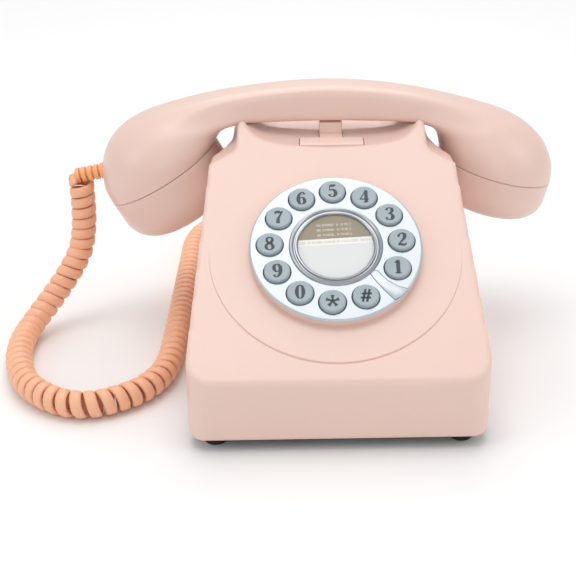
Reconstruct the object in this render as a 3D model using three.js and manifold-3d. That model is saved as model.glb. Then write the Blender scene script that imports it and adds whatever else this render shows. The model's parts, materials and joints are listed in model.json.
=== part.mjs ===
// Desk telephone with push keys set out in a ring, a handset across its back and a curly cord.
// Millimetres, +Z up. Origin: on the table, under the middle of the case and handset.
// +X runs along the handset to the right, -Y faces the person dialling.

import * as THREE from 'three';
import { mergeVertices } from 'three/addons/utils/BufferGeometryUtils.js';
import Module from 'manifold-3d';

const wasm = await Module();
wasm.setup();

// ---------------------------------------------------------------- driving dimensions

const GAP = 0.3;                 // clearance between touching pieces
const FAR = 300;                 // longer than anything it cuts

// Case
const CASE_DEPTH = 180;
const CASE_FRONT_WIDTH = 142.4;
const CASE_REAR_WIDTH = 114;
const CASE_BOTTOM = 5.6;         // height of the lower rim above the table
const CASE_WALL = 2.5;
const CASE_CORNER = 11;          // radius of the upright corners
const RIDGE_HEIGHT = 36.7;       // where the front lip meets the slope
const LIP_UNDERCUT = 1.5;
const SLOPE = THREE.MathUtils.degToRad(32.65);
const EAR_HEIGHT = 119.5;        // tip of each cradle ear
const REAR_EAR_DEPTH = 10;       // rear ears, front to back
const REAR_SHOULDER = [6, 104];  // inset from the back wall, height
const REAR_WALL_TOP = 70;
const SHOULDER_SLOPE = 0.367;    // fall of the shoulders per millimetre outwards
const SHOULDER_HEIGHT = 107.4;   // at the foot of an ear
const SHOULDER_X = 52;
const SADDLE_HEIGHT = 109.5;     // middle of the dip between the front ears
const REAR_SADDLE_HEIGHT = 107;
const NECK_HALF = 51.8;          // half width of the case between the two ends of the handset
const SCOOP_RADIUS = 36;         // hollow in each flank that clears an end of the handset
const SCOOP_FLOOR = 58;

// Dial
const DIAL_ALONG = 71.2;         // from the ridge up the slope to the dial's centre
const DIAL_RADIUS = 42;
const DIAL_FACE = 5;             // height of the plate's face above the slope
const DIAL_SEAT = 2;             // how far the plate overlaps its opening
const KEY_RING_RADIUS = 31.8;
const KEY_RADIUS = 6.3;
const KEY_FLANGE = 0.9;
const KEY_PROUD = 1.6;           // height of a key above the plate
const KEY_TRAVEL = 1.4;
const KEY_STEP = 29;             // degrees from key to key
const KEY_FIRST = -24.5;         // degrees, the key marked 1
const CENTRE_RING_OUTER = 22.6;
const CENTRE_RING_INNER = 18.4;
const RING_PROUD = 1.2;          // height of the centre ring above the plate
const CARD_HEIGHT = 3.8;         // underside of the number card above the slope
const CARD_THICKNESS = 0.5;
const LENS_THICKNESS = 1;
const GROOVE_RADIUS = 61;
const KEY_NAMES = ['1', '2', '3', '4', '5', '6', '7', '8', '9', '0', 'star', 'hash'];

// Handset
const HANDSET_LENGTH = 244.8;
const HANDSET_Y = 53.4;          // middle plane of the handset
const HANDLE_TOP = 136.5;
const HANDLE_HEIGHT = 20;
const HANDLE_WIDTH = 24;
const HANDLE_ARC = 266;          // radius of the top of the handle
const POD_RADIUS = 32.3;
const POD_WALL = 2.5;
const MOUTH = { side: -1, tilt: 30, height: 33.5, seam: 88.6, cap: 28.5, round: 15, name: 'mouth_cap' };
const EAR = { side: 1, tilt: 14, height: 30.9, seam: 90, cap: 23, round: 11.7, name: 'ear_cap' };
const RELIEF_RADIUS = 4.1;
const RELIEF_START = [-117.5, 89.9];
const RELIEF_END = [-138, 83.5];

// Hook switch
const PLUNGER_WIDTH = 33;
const PLUNGER_Y = [26.5, 38];
const RISER_WIDTH = 12;
const RISER_Y = [46, 54];
const STEM = { width: 10, y: [40, 50], flange: 3, flangeZ: [93, 95.5] };
const BRACKET_Z = 78;

// Fasteners and feet
const BOSS_RADIUS = 4;
const SCREW_RADIUS = 1.4;
const SCREW_HEAD = 3.2;
const BOSS_FROM_FLANK = 12.5;    // front bosses
const BOSS_FROM_NECK = 8.8;      // rear bosses, between the two hollows of the flanks
const BOSS_FROM_END = [28, 30];  // front and rear
const FOOT_RADIUS = 5.6;
const FOOT_FROM_FLANK = 12.4;    // front feet
const REAR_FOOT_FROM_FLANK = 9.9;
const FOOT_FROM_END = [12.7, 12];  // front and rear

// Sockets, switch and cord
const JACK = { x: 30, width: 14, height: 12.6, depth: 16, z: 18.3, pocket: [8, 12, 7] };
const SLIDER_Z = 18.8;
const SLIDER_TRAVEL = 7;
const CORD_RADIUS = 6.2;
const TAIL_RADIUS = 2;
const CORD_ROUTE = [
  [-134.7, 53.4, 77.5], [-134.7, 53.4, 66], [-135.6, 53.2, 54], [-138.2, 51.5, 42], [-144.2, 47, 31],
  [-152.5, 40.5, 20], [-161, 31, 10.5], [-165, 18, 6.5], [-163.5, -7, 6.5], [-155.5, -31, 6.5],
  [-143.5, -46, 6.5], [-130.5, -54, 6.5], [-118, -55, 6.5], [-106, -49.5, 6.5], [-95, -40, 6.5],
  [-87, -24, 6.5], [-84.2, 0, 6.5], [-83.8, 30, 6.5], [-83.6, 72, 6.5], [-83.4, 112, 6.5],
  [-82.6, 143, 6.5], [-75.5, 163, 6.5], [-60, 170.5, 6.5], [-46, 163, 6.5], [-37, 146, 6.5],
];
const TAIL_ROUTE = [[-36.6, 144.2, 6.5], [-33, 134, 8], [-31, 122, 13], [-30.3, 112, 17.4], [-30, 105, 18.3]];

// ---------------------------------------------------------------- derived sizes

const HALF_DEPTH = CASE_DEPTH / 2;
const COS = Math.cos(SLOPE);
const SIN = Math.sin(SLOPE);
const EAR_TIP_Y = -HALF_DEPTH + (EAR_HEIGHT - RIDGE_HEIGHT) / Math.tan(SLOPE);
const HANDLE_BOTTOM = HANDLE_TOP - HANDLE_HEIGHT;
const SHELF = HANDLE_BOTTOM - GAP;
const TROUGH = [HANDSET_Y - HANDLE_WIDTH / 2 - 0.6, HANDSET_Y + HANDLE_WIDTH / 2 + 0.6];
const REAR_EAR_Y = TROUGH[1] + REAR_EAR_DEPTH;
const CAVITY_TOP = SADDLE_HEIGHT - 2.7;
const CAVITY_REAR_TOP = REAR_SADDLE_HEIGHT - 3;
const PLATE_TOP = CASE_BOTTOM + CASE_WALL;
const DIAL_HOLE = DIAL_RADIUS - DIAL_SEAT;
const BOARD_TOP = -4;

// ---------------------------------------------------------------- shape helpers

/** Closed manifold solid of a three.js geometry, moved by an optional matrix. */
function solid(geometry, matrix) {
  const plain = geometry.clone();
  plain.deleteAttribute('normal');
  plain.deleteAttribute('uv');
  if (matrix) plain.applyMatrix4(matrix);
  const merged = mergeVertices(plain, 1e-4);
  return new wasm.Manifold(new wasm.Mesh({
    numProp: 3,
    vertProperties: new Float32Array(merged.attributes.position.array),
    triVerts: new Uint32Array(merged.index.array),
  }));
}

/** Named mesh of a manifold solid. */
function mesh(name, shape, finish) {
  const data = shape.getMesh();
  const geometry = new THREE.BufferGeometry();
  geometry.setAttribute('position', new THREE.BufferAttribute(data.vertProperties, 3));
  geometry.setIndex(new THREE.BufferAttribute(data.triVerts, 1));
  geometry.computeVertexNormals();
  const part = new THREE.Mesh(geometry, new THREE.MeshStandardMaterial(finish));
  part.name = name;
  return part;
}

function box([x0, x1], [y0, y1], [z0, z1]) {
  const geometry = new THREE.BoxGeometry(x1 - x0, y1 - y0, z1 - z0);
  geometry.translate((x0 + x1) / 2, (y0 + y1) / 2, (z0 + z1) / 2);
  return solid(geometry);
}

/** Solid turned about +Z from [radius, height] points that start and end on the axis, or close. */
function turned(profile, sides = 28, matrix = null) {
  const geometry = new THREE.LatheGeometry(profile.map(([r, z]) => new THREE.Vector2(r, z)), sides);
  geometry.rotateX(Math.PI / 2);
  return solid(geometry, matrix);
}

function disc(radius, [z0, z1], [x, y] = [0, 0], sides = 24) {
  const move = new THREE.Matrix4().makeTranslation(x, y, 0);
  return turned([[0, z0], [radius, z0], [radius, z1], [0, z1]], sides, move);
}

function ring(inner, outer, [z0, z1], [x, y] = [0, 0], sides = 36) {
  return disc(outer, [z0, z1], [x, y], sides).subtract(disc(inner, [z0 - 1, z1 + 1], [x, y], sides));
}

function extruded(points, depth, matrix) {
  const shape = new THREE.Shape(points.map(([x, y]) => new THREE.Vector2(x, y)));
  return solid(new THREE.ExtrudeGeometry(shape, { depth, bevelEnabled: false }), matrix);
}

const axes = (x, y, z, origin) => new THREE.Matrix4().makeBasis(
  new THREE.Vector3(...x), new THREE.Vector3(...y), new THREE.Vector3(...z),
).setPosition(...origin);

/** Outline in (y, z) carried across the whole width. */
const sidewise = (points) => extruded(points, FAR, axes([0, 1, 0], [0, 0, 1], [1, 0, 0], [-FAR / 2, 0, 0]));

/** Outline in (x, z) carried from y1 forwards to y0. */
const endwise = (points, [y0, y1] = [-FAR / 2, FAR / 2]) => (
  extruded(points, y1 - y0, axes([1, 0, 0], [0, 0, 1], [0, -1, 0], [0, y1, 0])));

/** Outline in (x, y) carried upwards. */
const upwards = (points, [z0, z1]) => (
  extruded(points, z1 - z0, axes([1, 0, 0], [0, 1, 0], [0, 0, 1], [0, 0, z0])));

/** Anticlockwise outline with every edge moved inwards. */
function inset(points, distance) {
  const count = points.length;
  const lines = points.map(([x, y], i) => {
    const [nx, ny] = points[(i + 1) % count];
    const length = Math.hypot(nx - x, ny - y);
    const [dx, dy] = [(nx - x) / length, (ny - y) / length];
    return { x: x - dy * distance, y: y + dx * distance, dx, dy };
  });
  return lines.map((line, i) => {
    const last = lines[(i + count - 1) % count];
    const cross = last.dx * line.dy - last.dy * line.dx;
    const t = ((line.x - last.x) * line.dy - (line.y - last.y) * line.dx) / cross;
    return [last.x + last.dx * t, last.y + last.dy * t];
  });
}

/** Outline whose corners are replaced by arcs of the given radius. */
function rounded(points, radius, steps = 4) {
  return points.flatMap((corner, i) => {
    const before = points[(i + points.length - 1) % points.length];
    const after = points[(i + 1) % points.length];
    const [c, b, a] = [corner, before, after].map(([x, y]) => new THREE.Vector2(x, y));
    const toB = b.clone().sub(c).normalize();
    const toA = a.clone().sub(c).normalize();
    const half = Math.acos(THREE.MathUtils.clamp(toA.dot(toB), -1, 1)) / 2;
    const reach = radius / Math.tan(half);
    const centre = c.clone().addScaledVector(toA.clone().add(toB).normalize(), radius / Math.sin(half));
    const start = c.clone().addScaledVector(toB, reach).sub(centre);
    const turn = Math.PI - 2 * half;
    const sign = Math.sign(toA.cross(toB));
    return Array.from({ length: steps + 1 }, (_, k) => {
      const p = start.clone().rotateAround(new THREE.Vector2(), sign * turn * (k / steps)).add(centre);
      return [p.x, p.y];
    });
  });
}

const mirrored = (half) => [...half, ...half.map(([x, z]) => [-x, z]).reverse()];

// ---------------------------------------------------------------- finishes

const PINK = { color: 0xf0d2c6, roughness: 0.34, metalness: 0 };
const PALE_PINK = { color: 0xf6dccf, roughness: 0.3, metalness: 0 };
const SALMON = { color: 0xf0b090, roughness: 0.42, metalness: 0 };
const ORANGE = { color: 0xffbe78, roughness: 0.4, metalness: 0 };
const SILVER_PAINT = { color: 0xe9edf0, roughness: 0.3, metalness: 0.35 };
const KEY_GREY = { color: 0xb2bfca, roughness: 0.35, metalness: 0 };
const CHROME = { color: 0xc8ccd2, roughness: 0.16, metalness: 1 };
const CARD = { color: 0xececec, roughness: 0.7, metalness: 0 };
const CLEAR = { color: 0xffffff, roughness: 0.06, metalness: 0, transparent: true, opacity: 0.25 };
const RUBBER = { color: 0x141414, roughness: 0.75, metalness: 0 };
const STEEL = { color: 0xb4b7bb, roughness: 0.35, metalness: 1 };
const BLACK_PLASTIC = { color: 0x1c1c1e, roughness: 0.5, metalness: 0 };
const SILICONE = { color: 0xd8d8d4, roughness: 0.6, metalness: 0 };
const BOARD_GREEN = { color: 0x2d6b3f, roughness: 0.5, metalness: 0 };

// ---------------------------------------------------------------- the dial's place

const dialMatrix = new THREE.Matrix4().makeRotationX(SLOPE)
  .setPosition(0, -HALF_DEPTH + DIAL_ALONG * COS, RIDGE_HEIGHT + DIAL_ALONG * SIN);
const onDial = (shape) => shape.transform(dialMatrix.toArray());
const polar = (radius, degrees) => {
  const angle = THREE.MathUtils.degToRad(degrees);
  return [radius * Math.cos(angle), radius * Math.sin(angle)];
};
const carrierScrews = [30, 150, 270].map((angle) => polar(DIAL_HOLE + 6.5, angle));

// ---------------------------------------------------------------- case

/** Half width of the case at a depth. */
const halfWidth = (y) => THREE.MathUtils.mapLinear(
  y, -HALF_DEPTH, HALF_DEPTH, CASE_FRONT_WIDTH / 2, CASE_REAR_WIDTH / 2);

/** A place on each flank at the front, then on each at the back. */
const inFours = ([front, rear], frontX, rearX) => [
  [-frontX, -HALF_DEPTH + front], [frontX, -HALF_DEPTH + front],
  [-rearX, HALF_DEPTH - rear], [rearX, HALF_DEPTH - rear],
];

const BOSSES = inFours(BOSS_FROM_END, halfWidth(-HALF_DEPTH + BOSS_FROM_END[0]) - BOSS_FROM_FLANK,
  NECK_HALF - BOSS_FROM_NECK);
const FEET = inFours(FOOT_FROM_END, halfWidth(-HALF_DEPTH + FOOT_FROM_END[0]) - FOOT_FROM_FLANK,
  halfWidth(HALF_DEPTH - FOOT_FROM_END[1]) - REAR_FOOT_FROM_FLANK);

const planOutline = () => [
  [-CASE_FRONT_WIDTH / 2, -HALF_DEPTH], [CASE_FRONT_WIDTH / 2, -HALF_DEPTH],
  [CASE_REAR_WIDTH / 2, HALF_DEPTH], [-CASE_REAR_WIDTH / 2, HALF_DEPTH],
];

/** Height of the slope and the flat top behind it as a (y, z) outline, down to z = low. */
function sideOutline(top, low, rear = []) {
  const topY = -HALF_DEPTH + (top - RIDGE_HEIGHT) / Math.tan(SLOPE);
  return [
    [-HALF_DEPTH + LIP_UNDERCUT, low], [HALF_DEPTH, low], [HALF_DEPTH, REAR_WALL_TOP],
    [HALF_DEPTH - REAR_SHOULDER[0], REAR_SHOULDER[1]], ...rear,
    [topY, top], [-HALF_DEPTH, RIDGE_HEIGHT],
  ];
}

const shoulder = (x) => SHOULDER_HEIGHT + (SHOULDER_X - x) * SHOULDER_SLOPE;

/** Front view of the case's top: shoulders, two ears and the saddle between them. */
function topOutline() {
  return mirrored([
    [FAR / 2, -1], [FAR / 2, shoulder(FAR / 2)], [SHOULDER_X + 1, shoulder(SHOULDER_X + 1)],
    [SHOULDER_X - 2, SHOULDER_HEIGHT + 1.6], [SHOULDER_X - 3, EAR_HEIGHT - 2.5],
    [SHOULDER_X - 5, EAR_HEIGHT - 0.2], [SHOULDER_X - 7, EAR_HEIGHT - 0.2],
    [42.5, SADDLE_HEIGHT + 6.2], [37, SADDLE_HEIGHT + 3.4], [30, SADDLE_HEIGHT + 1.9],
    [16, SADDLE_HEIGHT + 0.6],
  ]);
}

function caseOuter() {
  const side = rounded(sideOutline(EAR_HEIGHT, CASE_BOTTOM, [[REAR_EAR_Y, EAR_HEIGHT]]), 1.2, 2);
  return sidewise(side)
    .intersect(endwise(topOutline()))
    .intersect(upwards(rounded(planOutline(), CASE_CORNER), [0, FAR]));
}

function caseCavity() {
  const step = RISER_Y[1];
  const rear = [
    [HALF_DEPTH - REAR_SHOULDER[0] - 2, CAVITY_REAR_TOP + CASE_WALL],
    [step, CAVITY_REAR_TOP + CASE_WALL], [step, CAVITY_TOP + CASE_WALL],
  ];
  const side = sideOutline(CAVITY_TOP + CASE_WALL, -FAR / 3, rear)
    .filter(([, z]) => z !== REAR_SHOULDER[1]);
  const drop = CASE_WALL * 1.07;
  const front = mirrored([
    [FAR / 2, -FAR / 2], [FAR / 2, shoulder(FAR / 2) - drop],
    [SHOULDER_X - 2, shoulder(SHOULDER_X - 2) - drop], [SHOULDER_X - 5, CAVITY_TOP + 1],
  ]);
  return sidewise(inset(side, CASE_WALL))
    .intersect(endwise(front))
    .intersect(upwards(inset(planOutline(), CASE_WALL), [-1, FAR]));
}

/** Hollow for the fingers that carry the telephone by its back, and the walls around it. */
const CARRY = { x: 36, y: 72, z: [82, 97] };
const carryHollow = (wall) => box(
  [-CARRY.x - wall, CARRY.x + wall], [CARRY.y - wall, FAR], [CARRY.z[0] - wall, CARRY.z[1] + wall]);

/** Hollow of one flank: round in front of the handset's end, straight behind it. */
function scoop(side, wall) {
  const middle = side * (NECK_HALF + SCOOP_RADIUS);
  const heights = [SCOOP_FLOOR - wall, FAR];
  const edges = [side * (NECK_HALF - wall), side * FAR].sort((a, b) => a - b);
  return disc(SCOOP_RADIUS + wall, heights, [middle, HANDSET_Y], 40).add(box(edges, [HANDSET_Y, FAR], heights));
}

const scoops = (wall) => scoop(-1, wall).add(scoop(1, wall));

function cradleCuts() {
  const trough = box([-FAR / 2, FAR / 2], TROUGH, [SHELF, FAR]);
  const dip = mirrored([[38, FAR], [36, REAR_SADDLE_HEIGHT + 3], [28, REAR_SADDLE_HEIGHT]]);
  const rearDip = endwise(dip, [RISER_Y[1] + 2, FAR]);
  const seat = box([-PLUNGER_WIDTH / 2 - 0.5, PLUNGER_WIDTH / 2 + 0.5],
    [PLUNGER_Y[0] - 0.5, PLUNGER_Y[1] + 0.5], [SADDLE_HEIGHT - 1.2, FAR]);
  const riser = box([-RISER_WIDTH / 2 - 0.5, RISER_WIDTH / 2 + 0.5],
    [PLUNGER_Y[1], FAR], [SADDLE_HEIGHT - 1.2, FAR]);
  const slot = box([-STEM.width / 2 - 0.4, STEM.width / 2 + 0.4],
    [STEM.y[0] - 0.4, STEM.y[1] + 0.4], [CAVITY_TOP - 5, FAR]);
  return trough.add(rearDip).add(seat).add(riser).add(slot);
}

function dialCuts() {
  const opening = disc(DIAL_HOLE, [-12, 8], [0, 0], 32);
  const groove = ring(GROOVE_RADIUS - 0.4, GROOVE_RADIUS + 0.4, [-0.5, 3]);
  return onDial(carrierScrews.reduce(
    (cuts, place) => cuts.add(disc(SCREW_RADIUS, [-9, -CASE_WALL + 0.6], place, 10)),
    opening.add(groove)));
}

const jackHole = (x) => box([x - JACK.width / 2 - GAP, x + JACK.width / 2 + GAP], [HALF_DEPTH - 6, FAR],
  [JACK.z - JACK.height / 2 - GAP, JACK.z + JACK.height / 2 + GAP]);

function upperCase() {
  const outer = caseOuter().subtract(scoops(0));
  const innerSkin = outer.intersect(carryHollow(CASE_WALL).add(scoops(CASE_WALL)));
  const posts = BOSSES.map((place) => disc(BOSS_RADIUS, [PLATE_TOP + GAP + 0.2, FAR], place, 16));
  const dialPosts = onDial(carrierScrews
    .map((place) => disc(3.2, [-5.6, -1], place, 12))
    .reduce((all, post) => all.add(post)));
  let shell = outer.subtract(caseCavity()).add(innerSkin).subtract(carryHollow(0));
  shell = posts.reduce((all, post) => all.add(post.intersect(outer)), shell).add(dialPosts);
  shell = shell.subtract(cradleCuts()).subtract(dialCuts());
  BOSSES.forEach((place) => {
    shell = shell.subtract(disc(SCREW_RADIUS + 0.3, [0, 24], place, 12));
  });
  const slot = box([-SLIDER_TRAVEL / 2 - 2.7, SLIDER_TRAVEL / 2 + 2.7], [HALF_DEPTH - 6, FAR],
    [SLIDER_Z - 2.9, SLIDER_Z + 2.9]);
  return shell.subtract(jackHole(-JACK.x)).subtract(jackHole(JACK.x)).subtract(slot);
}

// ---------------------------------------------------------------- base and feet

const BOARD = { x: [-48, 48], y: [-50, 10], z: PLATE_TOP + 6.9 };
const boardPosts = [[-44, -46], [44, -46], [-44, 6], [44, 6]];

function basePlate() {
  const outline = rounded(inset(planOutline(), CASE_WALL + GAP), CASE_CORNER - CASE_WALL);
  const walls = sidewise(inset(sideOutline(CAVITY_TOP, -FAR / 3), CASE_WALL + GAP));
  let plate = upwards(outline, [CASE_BOTTOM, PLATE_TOP]).intersect(walls);
  boardPosts.forEach((place) => {
    plate = plate.add(disc(2.5, [PLATE_TOP - 1, BOARD.z - GAP], place, 12));
  });
  BOSSES.forEach((place) => {
    plate = plate.subtract(disc(SCREW_RADIUS + 0.5, [0, PLATE_TOP + 1], place, 12));
  });
  return plate;
}

function foot(place) {
  const top = CASE_BOTTOM - GAP;
  const profile = [[0, 0], [FOOT_RADIUS - 1, 0], [FOOT_RADIUS, 1.2], [FOOT_RADIUS, top], [0, top]];
  return turned(profile, 16, new THREE.Matrix4().makeTranslation(...place, 0));
}

/** Pan-head screw standing on its head at z = 0, threaded part upwards. */
function screw(place, seat, length, shank = SCREW_RADIUS, head = SCREW_HEAD) {
  const profile = [[0, seat - 1.8], [head * 0.8, seat - 1.8], [head, seat - 1.1], [head, seat],
    [shank, seat], [shank, seat + length], [0, seat + length]];
  return turned(profile, 10, new THREE.Matrix4().makeTranslation(...place, 0));
}

// ---------------------------------------------------------------- dial pieces, in the dial's frame

const keyAngle = (index) => KEY_FIRST + index * KEY_STEP;

function dialPlate() {
  const profile = [[0, GAP], [DIAL_RADIUS - 1.2, GAP], [DIAL_RADIUS, 1.4], [DIAL_RADIUS, DIAL_FACE - 1],
    [DIAL_RADIUS - 1, DIAL_FACE], [0, DIAL_FACE]];
  let plate = turned(profile, 44).subtract(disc(CENTRE_RING_OUTER + 0.4, [-1, DIAL_FACE + 1], [0, 0], 32));
  KEY_NAMES.forEach((_, i) => {
    const place = polar(KEY_RING_RADIUS, keyAngle(i));
    plate = plate.subtract(disc(KEY_RADIUS + 0.4, [-1, DIAL_FACE + 1], place, 14));
  });
  return plate;
}

function key(index) {
  const top = DIAL_FACE + KEY_PROUD;
  const flange = KEY_RADIUS + KEY_FLANGE;
  const profile = [[0, -1], [flange, -1], [flange, -0.2], [KEY_RADIUS, -0.2], [KEY_RADIUS, top - 0.7],
    [KEY_RADIUS - 0.8, top], [0, top]];
  const place = polar(KEY_RING_RADIUS, keyAngle(index));
  return turned(profile, 14, new THREE.Matrix4().makeTranslation(...place, 0));
}

/** Tongue that widens from the centre ring to the plate's rim, between the first and last keys. */
function fingerStop() {
  const root = CENTRE_RING_OUTER + 1.6;
  const rim = DIAL_RADIUS - 1.8;
  const at = (share, degrees) => polar(root + (rim - root) * share, degrees);
  const outline = [at(0, -42), at(0.02, -45), at(0.45, -47.5), at(1, -49.5), at(1, -43),
    at(1, -36.8), at(0.72, -39.6), at(0.4, -40), at(0.08, -38.2)];
  return upwards(outline, [DIAL_FACE + GAP, DIAL_FACE + GAP + 0.6]);
}

function centreRing() {
  const inner = CENTRE_RING_INNER;
  const outer = CENTRE_RING_OUTER;
  const [floor, crest] = [CARD_HEIGHT - GAP, DIAL_FACE + RING_PROUD];
  return turned([[0, 0.6], [outer, 0.6], [outer, crest - 0.8], [outer - 1, crest], [inner + 0.8, crest],
    [inner, crest - 0.6], [inner, floor], [0, floor]], 32);
}

function dialCarrier() {
  const rim = DIAL_HOLE + 10;
  let carrier = ring(12, rim, [-8.2, -5.9]);
  carrierScrews.forEach((place) => {
    carrier = carrier.subtract(disc(SCREW_RADIUS + 0.2, [-9, -5], place, 12));
  });
  return carrier;
}

function dialGroup() {
  const group = new THREE.Group();
  group.applyMatrix4(dialMatrix);
  const label = CENTRE_RING_INNER - GAP;
  const lensHeight = CARD_HEIGHT + CARD_THICKNESS + GAP;
  group.add(
    mesh('dial_plate', dialPlate(), SILVER_PAINT),
    mesh('finger_stop', fingerStop(), SILVER_PAINT),
    mesh('centre_ring', centreRing(), CHROME),
    mesh('number_card', disc(label, [CARD_HEIGHT, CARD_HEIGHT + CARD_THICKNESS]), CARD),
    mesh('card_lens', disc(label, [lensHeight, lensHeight + LENS_THICKNESS]), CLEAR),
    mesh('keypad_membrane', disc(DIAL_HOLE - GAP, [BOARD_TOP + GAP, BOARD_TOP + 1.3]), SILICONE),
    mesh('keypad_board', disc(DIAL_HOLE - GAP, [BOARD_TOP - 1.6, BOARD_TOP]), BOARD_GREEN),
    mesh('dial_carrier', dialCarrier(), BLACK_PLASTIC),
  );
  KEY_NAMES.forEach((name, i) => group.add(mesh(`key_${name}`, key(i), KEY_GREY)));
  carrierScrews.forEach((place, i) => {
    group.add(mesh(`carrier_screw_${i + 1}`, screw(place, -8.5, 6, SCREW_RADIUS - 0.3, 2.4), STEEL));
  });
  return group;
}

// ---------------------------------------------------------------- hook switch

function plungerBar() {
  const low = SADDLE_HEIGHT - 0.9;
  const top = SADDLE_HEIGHT + 1.2;
  const pad = box([-PLUNGER_WIDTH / 2, PLUNGER_WIDTH / 2], PLUNGER_Y, [low, top]);
  const arm = box([-RISER_WIDTH / 2, RISER_WIDTH / 2], [PLUNGER_Y[1] - 1, RISER_Y[1]], [low, top]);
  const riser = box([-RISER_WIDTH / 2, RISER_WIDTH / 2], RISER_Y, [low, SHELF]);
  const stem = box([-STEM.width / 2, STEM.width / 2], STEM.y, [STEM.flangeZ[0], low + 1]);
  const flange = box([-STEM.width / 2 - STEM.flange, STEM.width / 2 + STEM.flange],
    [STEM.y[0] - STEM.flange, STEM.y[1] + STEM.flange], STEM.flangeZ);
  return pad.add(arm).add(riser).add(stem).add(flange);
}

const stemMiddle = [0, (STEM.y[0] + STEM.y[1]) / 2];
const bracketHalf = STEM.width / 2 + STEM.flange + 6;

function hookBracket() {
  const [y0, y1] = [STEM.y[0] - 4, STEM.y[1] + 13];
  const floor = box([-bracketHalf, bracketHalf], [y0, y1], [BRACKET_Z, BRACKET_Z + 2]);
  return [-1, 1].reduce((all, side) => {
    const x = [side * bracketHalf - 1, side * bracketHalf + 1];
    return all.add(box(x, [y0, STEM.y[1]], [BRACKET_Z, CAVITY_TOP - GAP]));
  }, floor);
}

function hookGroup() {
  const group = new THREE.Group();
  const floor = BRACKET_Z + 2 + GAP;
  const spring = ring(3.2, 4.4, [floor, STEM.flangeZ[0] - GAP], stemMiddle, 20);
  const body = box([-9, 9], [STEM.y[1] + 6, STEM.y[1] + 12], [floor, floor + 12]);
  group.add(
    mesh('plunger_bar', plungerBar(), PALE_PINK),
    mesh('plunger_spring', spring, STEEL),
    mesh('hook_bracket', hookBracket(), STEEL),
    mesh('hook_microswitch', body, BLACK_PLASTIC),
  );
  return group;
}

// ---------------------------------------------------------------- inside the case

function insideGroup() {
  const group = new THREE.Group();
  const onPlate = PLATE_TOP + GAP;
  const onBoard = BOARD.z + 1.6 + GAP;
  group.add(
    mesh('main_board', box(BOARD.x, BOARD.y, [BOARD.z, BOARD.z + 1.6]), BOARD_GREEN),
    mesh('line_transformer', box([-34, -14], [-30, -12], [onBoard, onBoard + 15]), STEEL),
    mesh('reservoir_capacitor', disc(5, [onBoard, onBoard + 13], [14, -20], 20), BLACK_PLASTIC),
    mesh('ringer', disc(17, [onPlate, onPlate + 14], [24, 32]), BLACK_PLASTIC),
    mesh('ballast_plate', box([-36, 4], [14, 64], [onPlate, onPlate + 5]), STEEL),
  );
  return group;
}

// ---------------------------------------------------------------- back wall: sockets and switch

function jack(x) {
  const [width, depth, height] = JACK.pocket;
  const block = box([x - JACK.width / 2, x + JACK.width / 2], [HALF_DEPTH - JACK.depth, HALF_DEPTH],
    [JACK.z - JACK.height / 2, JACK.z + JACK.height / 2]);
  return block.subtract(box([x - width / 2, x + width / 2], [HALF_DEPTH - depth, FAR],
    [JACK.z - height / 2, JACK.z + height / 2]));
}

function backGroup() {
  const group = new THREE.Group();
  const left = -SLIDER_TRAVEL / 2;
  const knob = box([left - 2.2, left + 2.2], [HALF_DEPTH - 6, HALF_DEPTH], [SLIDER_Z - 2.4, SLIDER_Z + 2.4]);
  const body = box([-9, 9], [HALF_DEPTH - 14, HALF_DEPTH - 6.3], [SLIDER_Z - 6, SLIDER_Z + 6]);
  group.add(
    mesh('handset_jack', jack(-JACK.x), BLACK_PLASTIC),
    mesh('line_jack', jack(JACK.x), BLACK_PLASTIC),
    mesh('ringer_switch_body', body, BLACK_PLASTIC),
    mesh('ringer_switch_knob', knob, BLACK_PLASTIC),
  );
  return group;
}

// ---------------------------------------------------------------- handset

/** Frame of one end of the handset: origin at the middle of its seam, +Z up into the pod. */
function podMatrix(end) {
  const tilt = THREE.MathUtils.degToRad(end.tilt);
  const reach = Math.hypot(POD_RADIUS * Math.cos(tilt), end.height * Math.sin(tilt));
  return new THREE.Matrix4().makeRotationY(end.side * tilt)
    .setPosition(end.side * (HANDSET_LENGTH / 2 - reach), HANDSET_Y, end.seam);
}

/** Half an egg standing on the seam: full radius below, closing to its top. */
function dome(end, shrink, foot, sides, steps) {
  const [radius, height] = [POD_RADIUS - shrink, end.height - shrink];
  const profile = [[0, foot], [radius, foot]];
  for (let i = foot === 0 ? 1 : 0; i <= steps; i += 1) {
    const angle = (i / steps) * (Math.PI / 2);
    profile.push([i === steps ? 0 : radius * Math.cos(angle), height * Math.sin(angle)]);
  }
  return turned(profile, sides, podMatrix(end));
}

function handleArc(drop, reach, steps) {
  const centre = HANDLE_TOP - HANDLE_ARC;
  const radius = HANDLE_ARC - drop;
  return Array.from({ length: steps + 1 }, (_, i) => {
    const x = reach * (1 - (2 * i) / steps);
    return [x, centre + Math.sqrt(radius * radius - x * x)];
  });
}

const HANDLE_Y = [HANDSET_Y - HANDLE_WIDTH / 2, HANDSET_Y + HANDLE_WIDTH / 2];
const endX = (fromTip) => HANDSET_LENGTH / 2 - fromTip;

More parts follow.
